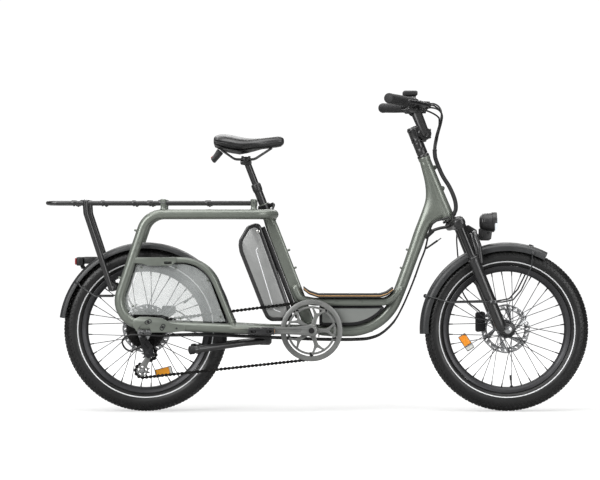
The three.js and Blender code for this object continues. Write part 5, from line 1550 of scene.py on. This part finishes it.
def makeFork():
    crownRings = []
    for y, ahead, reach, tall in [(-y, *rest) for y, *rest in reversed(crownHalf[1:])] + crownHalf:
        ring = []
        for k in range(24):
            a = 2 * pi * k / 24
            c = copysign(abs(cos(a)) ** 0.72, cos(a))
            s = copysign(abs(sin(a)) ** 0.72, sin(a))
            ring.append(inForkFrame(239 + s * tall, ahead + c * reach, y))
        crownRings.append(ring)
    crown = modify(loft(crownRings), "SUBSURF", levels=1, render_levels=1)
    race = spun([(14.6, 217), (20.8, 217), (22.4, 219.5), (22.4, 223), (20.8, 225), (14.6, 225)], inForkFrame(0, 0, 0),
                steerDown, 40, closed=True)
    steerer = rod(inForkFrame(-98, 0, 0), inForkFrame(228, 0, 0), 14.2, sides=36)
    headset = spun([(15, -0.8), (19.8, -0.8), (20.4, -2.4), (19.2, -6.6), (17, -9.4), (15, -9.4)],
                   inForkFrame(0, 0, 0), steerDown, 40, closed=True)
    spacers = spun([(14.6, -10), (17.4, -10), (17.8, -11), (17.8, -29), (17.2, -30), (17.8, -31), (17.8, -49.6),
                    (17.4, -50.6), (14.6, -50.6)], inForkFrame(0, 0, 0), steerDown, 36, closed=True)
    caps = [spun([(0, 218), (6, 218), (7, 219.4), (13, 219.6), (14.6, 222), (18.4, 225), (18.6, 255), (16.4, 258),
                  (14, 258), (0, 258)], inForkFrame(0, 22, s * legY), steerDown, 32) for s in (-1, 1)]
    knob = spun([(0, -13), (7, -13), (9.4, -11), (10, -7), (10, 3), (0, 3)], mm(506, -8, 575), (0, 1, 0), 32)
    bracket = plate([roundShape([(478, 600), (488, 603), (516, 586), (516, 570), (498, 566), (478, 582)], 5)], -11, 11,
                    1.4)
    settle([crown, race, steerer, headset, spacers, *caps], "fork_crown_forged", "blackPaint", "steerer",
           ["fork_crown"])
    tubes = [rod(inForkFrame(250, 22, s * legY), inForkFrame(440, 22, s * legY), 14, sides=40) for s in (-1, 1)]
    settle(tubes, "fork_stanchions", "stanchionBlack", "steerer")
    lowers = []
    for s in (-1, 1):
        profile = [(14.4, 352), (17.2, 352.6), (17.4, 356), (16.2, 358), (17.8, 361), (16.6, 364), (19.6, 366),
                   (20, 372), (19.2, 378), (18.2, 384), (18.2, 560), (18.6, 590), (16.8, 604), (12, 612), (5.4, 615),
                   (0, 615)]
        leg = spun(profile, inForkFrame(0, 22, s * legY), steerDown, 40)
        boss = rod(inForkFrame(398, 22, s * legY), inForkFrame(398, 40, s * legY), 8.6, sides=24)
        lowers += [leg, boss]
    archLine = [(386, 40, 64, 0), (335, 54, 62, 40), (289, 57, 46, 22)]
    near = [(inForkFrame(a, b, -y), r) for a, b, y, r in archLine]
    far = [(inForkFrame(a, b, y), r) for a, b, y, r in reversed(archLine)]
    arch = tube(bent(near + far, 8), 9, 20)
    archBack = tube(bent([(inForkFrame(a, b - 12, -y), r) for a, b, y, r in archLine]
                         + [(inForkFrame(a, b - 12, y), r) for a, b, y, r in reversed(archLine)], 8), 6.4, 16)
    ends = []
    for s in (-1, 1):
        shape = [inForkFrame(a, b, 0) for a, b in ((588, 8), (588, 38), (604, 54), (628, 54), (634, 36), (614, 8))]
        ends.append(plate([roundShape([(p.x * 1000, p.z * 1000) for p in shape], 8), circle(612, 265, 6.4, 20)],
                          *sorted((s * 50.5, s * 60)), 1.6))
        ends.append(hexBolt(inForkFrame(615, 22, s * legY), steerDown, 5, 3))
    settle([*lowers, arch, archBack, knob, bracket, *ends], "fork_lower_legs", "blackPaint", "fork_lower",
           ["fork_lowers"])
    x, z = 612, 265
    spindle = drum(x, z, -62, 62, 6, sides=24)
    nuts = [hexNut(mm(x, s * 61, z), (0, s, 0), 9.6, 7) for s in (-1, 1)]
    washers = [drum(x, z, *sorted((s * 60, s * 62)), 12, sides=32, edge=0.4) for s in (-1, 1)]
    studs = [drum(x, z, *sorted((s * 66, s * 71)), 5, sides=20, edge=0.8) for s in (-1, 1)]
    settle([spindle, *nuts, *washers, *studs], "front_axle_nuts", "brightSteel", "fork_lower", ["front_axle"])
    x, z = -556, 265
    spindle = drum(x, z, -88, 88, 6.9, sides=24)
    nuts = [hexNut(mm(x, s * 68, z), (0, s, 0), 11.2, 11) for s in (-1, 1)]
    outerNuts = [hexNut(mm(x, s * 82, z), (0, s, 0), 9.4, 6) for s in (-1, 1)]
    hangers = []
    for s, drop in ((-1, 232), (1, 248)):
        shape = roundShape([(-584, 296), (-528, 296), (-530, 262), (-546, drop), (-572, drop), (-582, 262)], 7)
        hangers.append(plate([shape], *sorted((s * 66.2, s * 69.1)), 0.5))
    settle([spindle, *nuts, *outerNuts, *hangers], "rear_axle_nuts", "brightSteel", "frame", ["rear_axle"])


def makeCaliper(name, body, outline, bridge, y, boltPlaces, nodes):
    shape = roundShape(outline, 7)
    halves = [plate([shape], y - 11.4, y - 2.6, 2), plate([shape], y + 2.6, y + 13.4, 2.6), block(*bridge, 1.6)]
    bolts = [hexBolt(mm(x, y + 13.2, z), (0, 1, 0), 3.8, 2.4) for x, z in boltPlaces]
    cx = sum(p[0] for p in outline) / len(outline)
    cz = sum(p[1] for p in outline) / len(outline)
    dial = spun([(0, 3), (6, 3), (8, 1.6), (8.4, -1), (0, -1)], mm(cx, y + 13.2, cz), (0, 1, 0), 24)
    back = spun([(0, 2), (5, 2), (7, 0.8), (7.4, -1), (0, -1)], mm(cx, y - 11.2, cz), (0, -1, 0), 24)
    settle([*halves, *bolts, dial, back], name, "blackAlloy", body, nodes)


def makeHeadlight():
    centre, axis = mm(524, 0, 611), (1, 0, 0)
    shell = spun([(0, 0), (14, 0.6), (21, 3), (25.6, 9), (28, 18), (31.4, 40), (32, 45), (31.2, 47.4), (29.4, 47.4),
                  (28.6, 44), (20, 38), (0, 36)], centre, axis, 56)
    fins = [spun([(24, 10 + 5 * k), (28.6 + 0.7 * k, 10 + 5 * k), (28.6 + 0.7 * k, 12 + 5 * k), (24, 12 + 5 * k)],
                 centre, axis, 48, closed=True) for k in range(4)]
    visor = spun([(31.6, 40), (33.2, 41), (33.4, 54), (32.6, 56), (31.2, 55), (31.2, 42)], centre, axis, 36,
                 radians(190), closed=True)
    visor.data.transform(turnAbout(centre, radians(95), "X"))
    capEnds(visor)
    foot = plate([roundShape([(522, 592), (566, 592), (562, 558), (554, 552), (528, 552), (522, 560)], 5)], -13, 13, 3)
    arm = block(509, 530, -12, 12, 554, 574, 5, 3)
    bolts = [hexBolt(mm(x, s * 13, z), (0, s, 0), 4, 2.6) for s in (-1, 1) for x, z in ((534, 566), (553, 578))]
    settle([shell, *fins, visor, foot, arm, *bolts], "headlight_shell", "softPlastic", "lamp",
           ["headlight"])
    lens = spun([(0, 60), (10, 59.4), (20, 57.4), (26, 53.6), (29, 48), (29, 43), (0, 43)], centre, axis, 48)
    settle(lens, "headlight_lens", "lensClear", "lamp")
    bezel = spun([(25.8, 49), (28.4, 50), (29.6, 48.4), (29.6, 44), (28.6, 43)], centre, axis, 48, closed=True)
    settle(bezel, "headlight_bezel", "brightSteel", "lamp")


barKnee, barEnd = mm(307, -152, 990), mm(221, -300, 997)
gripWay = (barEnd - barKnee).normalized()


def onGrip(distance):
    return barKnee + gripWay * distance / 1000


def makeBarAndStem():
    half = bent([(mm(348, 0, 897.5), 0), (mm(348, -64, 897.5), 26), (mm(319, -112, 968), 26), (barKnee, 26),
                 (barEnd, 0)], 10)[1:]
    path = list(reversed(half)) + [Vector((p.x, -p.y, p.z)) for p in half]
    bar = tube(path, 11.1, 28)
    ferrules = [spun([(11, -6), (12.2, -6), (12.2, 6), (11, 6)], mm(348, s * 30, 897.5), (0, 1, 0), 28, closed=True)
                for s in (-1, 1)]
    settle([bar, *ferrules], "handlebar_bent", "blackPaint", "steerer", ["handlebar"])
    post = spun([(14.8, -100), (17.6, -100), (19, -98), (19, -92), (18.2, -90), (18.2, -62), (19, -60), (19, -53),
                 (18, -51.6), (14.8, -51.6)], inForkFrame(0, 0, 0), steerDown, 40, closed=True)
    top = spun([(0, -104.6), (13, -104.6), (16.6, -103), (17.4, -100.4), (0, -100.4)], inForkFrame(0, 0, 0), steerDown,
               36)
    barrel = spun([(11.6, -23), (18.6, -23), (20, -21.4), (20, -16), (19.2, -14.6), (19.2, 14.6), (20, 16), (20, 21.4),
                   (18.6, 23), (11.6, 23)], mm(348, 0, 897.5), (0, 1, 0), 44, closed=True)
    neckRings = []
    for t, r, w in ((0, 17, 16), (0.35, 15, 15), (0.7, 15.4, 16), (1, 17.6, 18)):
        a, b = inForkFrame(-76, 0, 0), mm(348, 0, 897.5)
        centre = a.lerp(b, t)
        neckRings.append([centre + steerDown * cos(2 * pi * k / 24) * r / 1000
                          + Vector((0, sin(2 * pi * k / 24) * w / 1000, 0)) for k in range(24)])
    neck = loft(neckRings)
    bolts = [hexBolt(inForkFrame(s, -13, 17), (0, 1, 0), 3.6, 3) for s in (-90, -64)]
    bolts += [hexBolt(inForkFrame(s, -13, -17), (0, -1, 0), 3.6, 3) for s in (-90, -64)]
    bolts += [hexBolt(mm(362, y, z), (1, 0, 0.3), 3.6, 5) for y in (-15, 15) for z in (886, 910)]
    lug = block(340, 352, -19, 19, 872, 882, 2.5)
    settle([post, top, barrel, neck, lug, *bolts], "stem_clamps", "blackPaint", "steerer", ["stem"])


def makeGripAndLever(side, name):
    def put(obj):
        if side > 0:
            obj.data.transform(otherSide)
            obj.data.flip_normals()
        return obj
    ribs = [(11.6, 32), (15.6, 32), (16.4, 33), (16.4, 37.4), (15.4, 38.6)]
    for k in range(22):
        d = 41 + 5.4 * k
        swell = 0.5 * sin(pi * k / 21)
        ribs += [(15.2 + swell, d), (15.8 + swell, d + 0.9), (15.8 + swell, d + 3.2), (15.2 + swell, d + 4.1)]
    ribs += [(15.6, 163), (16.4, 164), (16.4, 172), (15.4, 175.6), (12, 177), (0, 177)]
    grip = spun(ribs, barKnee, gripWay, 40)
    settle(put(grip), "grip_ribbed_" + name, "gripRubber", "steerer", ["grip_" + name])
    ring = spun([(11.6, 9), (15.4, 9), (16, 10), (16, 26), (15.4, 27), (11.6, 27)], barKnee, gripWay, 32, closed=True)
    tankA, tankB = mm(324, -172, 987), mm(352, -120, 984)
    way = (tankB - tankA).normalized()
    tank = spun([(0, -2), (8.4, -2), (10, 0), (10, 38), (9.2, 42), (7.4, 46), (7.4, 56), (5.6, 60), (5.6, 68),
                 (0, 68)], tankA, way, 32)
    neck = rod(onGrip(19) + mm(10, 0, 0), mm(332, -160, 986), 7, 6.4)
    ear = block(330, 358, -170, -153, 982.5, 990, 2.4)
    lid = block(328, 346, -158, -128, 990, 995, 2)
    lid.data.transform(turnAbout(mm(337, -143, 992), radians(28), "Z"))
    pivot = spun([(0, 9), (3.4, 9), (4, 8), (4, -8), (0, -8)], mm(352, -160, 985), (0, 0, 1), 20)
    bolt = [hexBolt(onGrip(18) + mm(-8, 10, -14), (0.2, 0.5, -1), 3.2, 3)]
    settle(put(joined([ring, tank, neck, ear, lid, pivot, *bolt])), "brake_clamp_" + name, "blackAlloy", "steerer",
           ["brake_perch_" + name])
    line = bent([(mm(352, -157, 978), 0), (mm(347, -192, 981), 30), (mm(321, -240, 984), 90), (mm(284, -288, 988), 0)],
                8)
    rings = []
    for i, p in enumerate(line):
        on = (line[min(i + 1, len(line) - 1)] - line[max(i - 1, 0)]).normalized()
        out = on.cross(Vector((0, 0, 1))).normalized()
        thick = 3.6 + (1.6 if i == len(line) - 1 else 0)
        rings.append([p + out * cos(2 * pi * k / 16) * thick / 1000 + Vector((0, 0, 1)) * sin(2 * pi * k / 16) * 0.0062
                      for k in range(16)])
    blade = loft(rings)
    ball = spun([(0, -5.6), (3.6, -4.6), (5.6, 0), (3.6, 4.6), (0, 5.6)], line[-1], (0, 0, 1), 20)
    knuckle = spun([(0, -7), (6.4, -7), (7, -6), (7, 4), (0, 4)], mm(352, -159, 979), (0, 0, 1), 24)
    settle(put(joined([blade, ball, knuckle])), "brake_lever_" + name, "blackAlloy", name + "_brake_lever",
           ["brake_blade_" + name])


def makeControls():
    pod = spun([(0, -9), (13, -9), (17, -6), (18, 0), (16.4, 7), (12, 9), (0, 9)], mm(308, -144, 971), (0.2, 0.3, 1),
               32)
    band = spun([(11.5, -3), (15.4, -3), (15.4, 5), (11.5, 5)], onGrip(-2), gripWay, 28, closed=True)
    window = block(296, 318, -128, -122, 966, 976, 2)
    settle([pod, band, window], "shifter_pod", "softPlastic", "steerer")
    lever = loft([[mm(x + 0.4 * sin(a) * w, y + cos(a) * w, z + sin(a) * 2.6)
                   for a in [2 * pi * k / 14 for k in range(14)]]
                  for x, y, z, w in ((302, -149, 970, 5), (290, -154, 968.4, 5.6), (277, -161, 967, 6.6),
                                     (268, -166, 966, 6.2), (264, -168, 966, 4.4))])
    settle(lever, "shifter_paddle", "softPlastic", "shifter", ["shift_lever"])
    case = block(281, 329, 102, 158, 1029, 1043.6, 4, 4)
    leg = rod(mm(312, 128, 984), mm(307, 129, 1033), 10, 14)
    neck = block(290, 324, 112, 146, 1006, 1032, 6, 3)
    clip = spun([(11.7, -8), (15.4, -8), (16, -7), (16, 7), (15.4, 8), (11.7, 8)], mm(313, 130, 978),
                (-0.28, 0.9, 0.36), 28, closed=True)
    settle([case, leg, neck, clip], "display_case", "softPlastic", "steerer", ["display"])
    screen = block(285, 325, 106, 154, 1042.8, 1044.6, 0.7, 2)
    settle(screen, "display_screen", "screenGlass", "steerer")
    pad = block(286, 312, 92, 116, 968, 984, 4)
    keys = [spun([(0, 2), (3.4, 2), (4.4, 1), (4.4, -1), (0, -1)], mm(x, 98, 985), (0, 0, 1), 16) for x in (293, 305)]
    bell = spun([(0, 12), (8, 10.6), (13, 5.6), (14.6, 0), (13.6, -1.6), (0, -1.6)], mm(303, -118, 1000), (0, 0, 1), 36)
    bellBase = block(296, 312, -126, -110, 986, 999, 2.4)
    hammer = tube(flowing([mm(303, -106, 998), mm(292, -101, 1001), mm(281, -104, 1003)]), 2.2, 10)
    settle([pad, *keys, bellBase, hammer], "bar_switches", "softPlastic", "steerer")
    settle(bell, "bell_dome", "blackAlloy", "steerer")


sleeveLine = [(379, -11, 846), (379, -12, 834), (383, -14, 812), (403, -15, 764), (427, -18, 724), (443, -25, 684),
              (446, -29, 655), (438, -33, 634)]
rearHoseLine = [(424, -36, 628), (404, -31, 621), (374, -26, 610), (360, -16, 576), (348, -6, 524), (332, -2, 482),
                (316, 0, 436), (298, 0, 390), (275, 0, 338), (246, 0, 287), (207, 0, 250), (168, 0, 234),
                (122, -6, 230), (60, -18, 230), (-20, -28, 232), (-110, -36, 236), (-161, -40, 238), (-250, -60, 243),
                (-300, -84, 246), (-400, -90, 248), (-500, -92, 247), (-560, -95, 250), (-606, -97, 248),
                (-626, -96, 230), (-616, -92, 206), (-592, -88, 195)]


def runOf(points, steps=7):
    return flowing([mm(*p) for p in points], steps)


def makeCables():
    sleeve = tube(runOf(sleeveLine, 9), 6.9, 20)
    collars = [weld(mm(379, -11, 845), (0, 0, 1), 6.2, 1.6, 12), weld(mm(440, -32.4, 638), (0.35, 0.2, 1), 6.2, 1.6,
                                                                      12)]
    settle([sleeve, *collars], "cable_sleeve_braided", "sleeveWeave", None, ["cable_sleeve"])
    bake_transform(bpy.data.objects["cable_sleeve_braided"])
    loops = [
        [(352, -119, 984), (372, -100, 984), (394, -60, 968), (402, -26, 946), (392, -10, 922)],
        [(352, 119, 984), (374, 100, 988), (398, 56, 976), (404, 14, 948), (392, -6, 922)],
        [(318, -130, 972), (352, -108, 966), (384, -66, 952), (393, -26, 938), (390, -12, 922)],
        [(312, 104, 976), (348, 92, 996), (386, 54, 996), (402, 10, 962), (394, -8, 922)]]
    down = [(386, 890), (380, 858), (379, 838)]
    places = [(-2.6, -14), (2.8, -8), (2.6, -14), (-2.8, -8)]
    housings = [tube(runOf(points[:-1] + [(x + aside, y, z) for x, z in down], 9), 2.9, 12)
                for points, (aside, y) in zip(loops, places)]
    ends = [rod(mm(*points[0]), mm(*points[0]).lerp(mm(*points[1]), 0.42), 4.2, 3.4, 14) for points in loops]
    settle(housings + ends, "bar_housings", "cableJacket", "steerer")
    hose = tube(runOf(rearHoseLine, 6), 3.1, 12)
    second = tube(runOf([(x + 2, y + 6, z + (3 if z > 300 else 5)) for x, y, z in rearHoseLine[4:20]], 6), 2.7, 10)
    clips = [weld(mm(x, y, z), axis, 3, 1.4, 10) for x, y, z, axis in
             ((316, 0, 436, (0.4, 0, 1)), (246, 0, 287, (0.6, 0, 0.8)), (60, -18, 230, (1, 0, 0)),
              (-110, -36, 236, (1, 0.1, 0)), (-400, -90, 248, (1, 0, 0)))]
    lead = tube(runOf([(438, -33, 634), (434, -34, 612), (418, -33, 597), (394, -30, 592), (369, -22, 582),
                       (350, -10, 560)]), 5, 16)
    boot = rod(mm(372, -24, 584), mm(350, -10, 561), 7.2, 5.6, 20)
    settle([hose, second, *clips, lead, boot], "frame_hoses", "cableJacket", "frame", ["rear_hose"])
    straight = [tube([mm(400, -8, 560), mm(348, -12, 524)], 1.9, 10), rod(mm(388, -9, 552), mm(352, -12, 527), 3.4, 3,
                                                                          12)]
    settle(straight, "frame_sensor_lead", "cableJacket", "frame")
    caliperHose = tube(runOf([(447, 30, 606), (455, 58, 590), (456, 84, 548), (462, 92, 480), (470, 92, 400),
                              (494, 84, 352), (514, 66, 334), (528, 50, 322)], 8), 2.4, 12)
    settle(caliperHose, "front_brake_hose", "cableJacket", None)
    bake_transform(caliperHose)
    rearBrake = tube(runOf([(-258, 60, 262), (-330, 70, 262), (-400, 72, 280), (-440, 68, 312), (-466, 58, 326)], 8),
                     2.4, 12)
    motorLead = tube(runOf([(-556, 76, 265), (-552, 88, 250), (-530, 92, 244), (-440, 94, 246), (-330, 88, 250),
                            (-250, 62, 250), (-150, 40, 246)], 8), 3.2, 12)
    settle([rearBrake, motorLead], "rear_brake_hose", "cableJacket", "frame")


print("rack and mudguards")
makeRack()
makeRearMudguard()
makeFrontMudguard()
print("fork, brakes and lamp")
makeFork()
makeCaliper("front_caliper_body", "fork_lower", [(514, 254), (546, 258), (546, 318), (536, 322), (514, 318)],
            (514, 526, 31, 44, 262, 314), 38, [(522, 266), (522, 308)], ["front_caliper"])
makeCaliper("rear_caliper_body", "frame", [(-512, 306), (-484, 300), (-463, 316), (-462, 340), (-506, 340)],
            (-482, -464, 44, 56, 322, 339), 50, [(-500, 330), (-474, 330)], ["rear_caliper"])
makeHeadlight()
print("handlebar and cables")
makeBarAndStem()
makeGripAndLever(-1, "right")
makeGripAndLever(1, "left")
makeControls()
makeCables()

print("studio")
makeCamera()
makeFloor()
makeLamps()
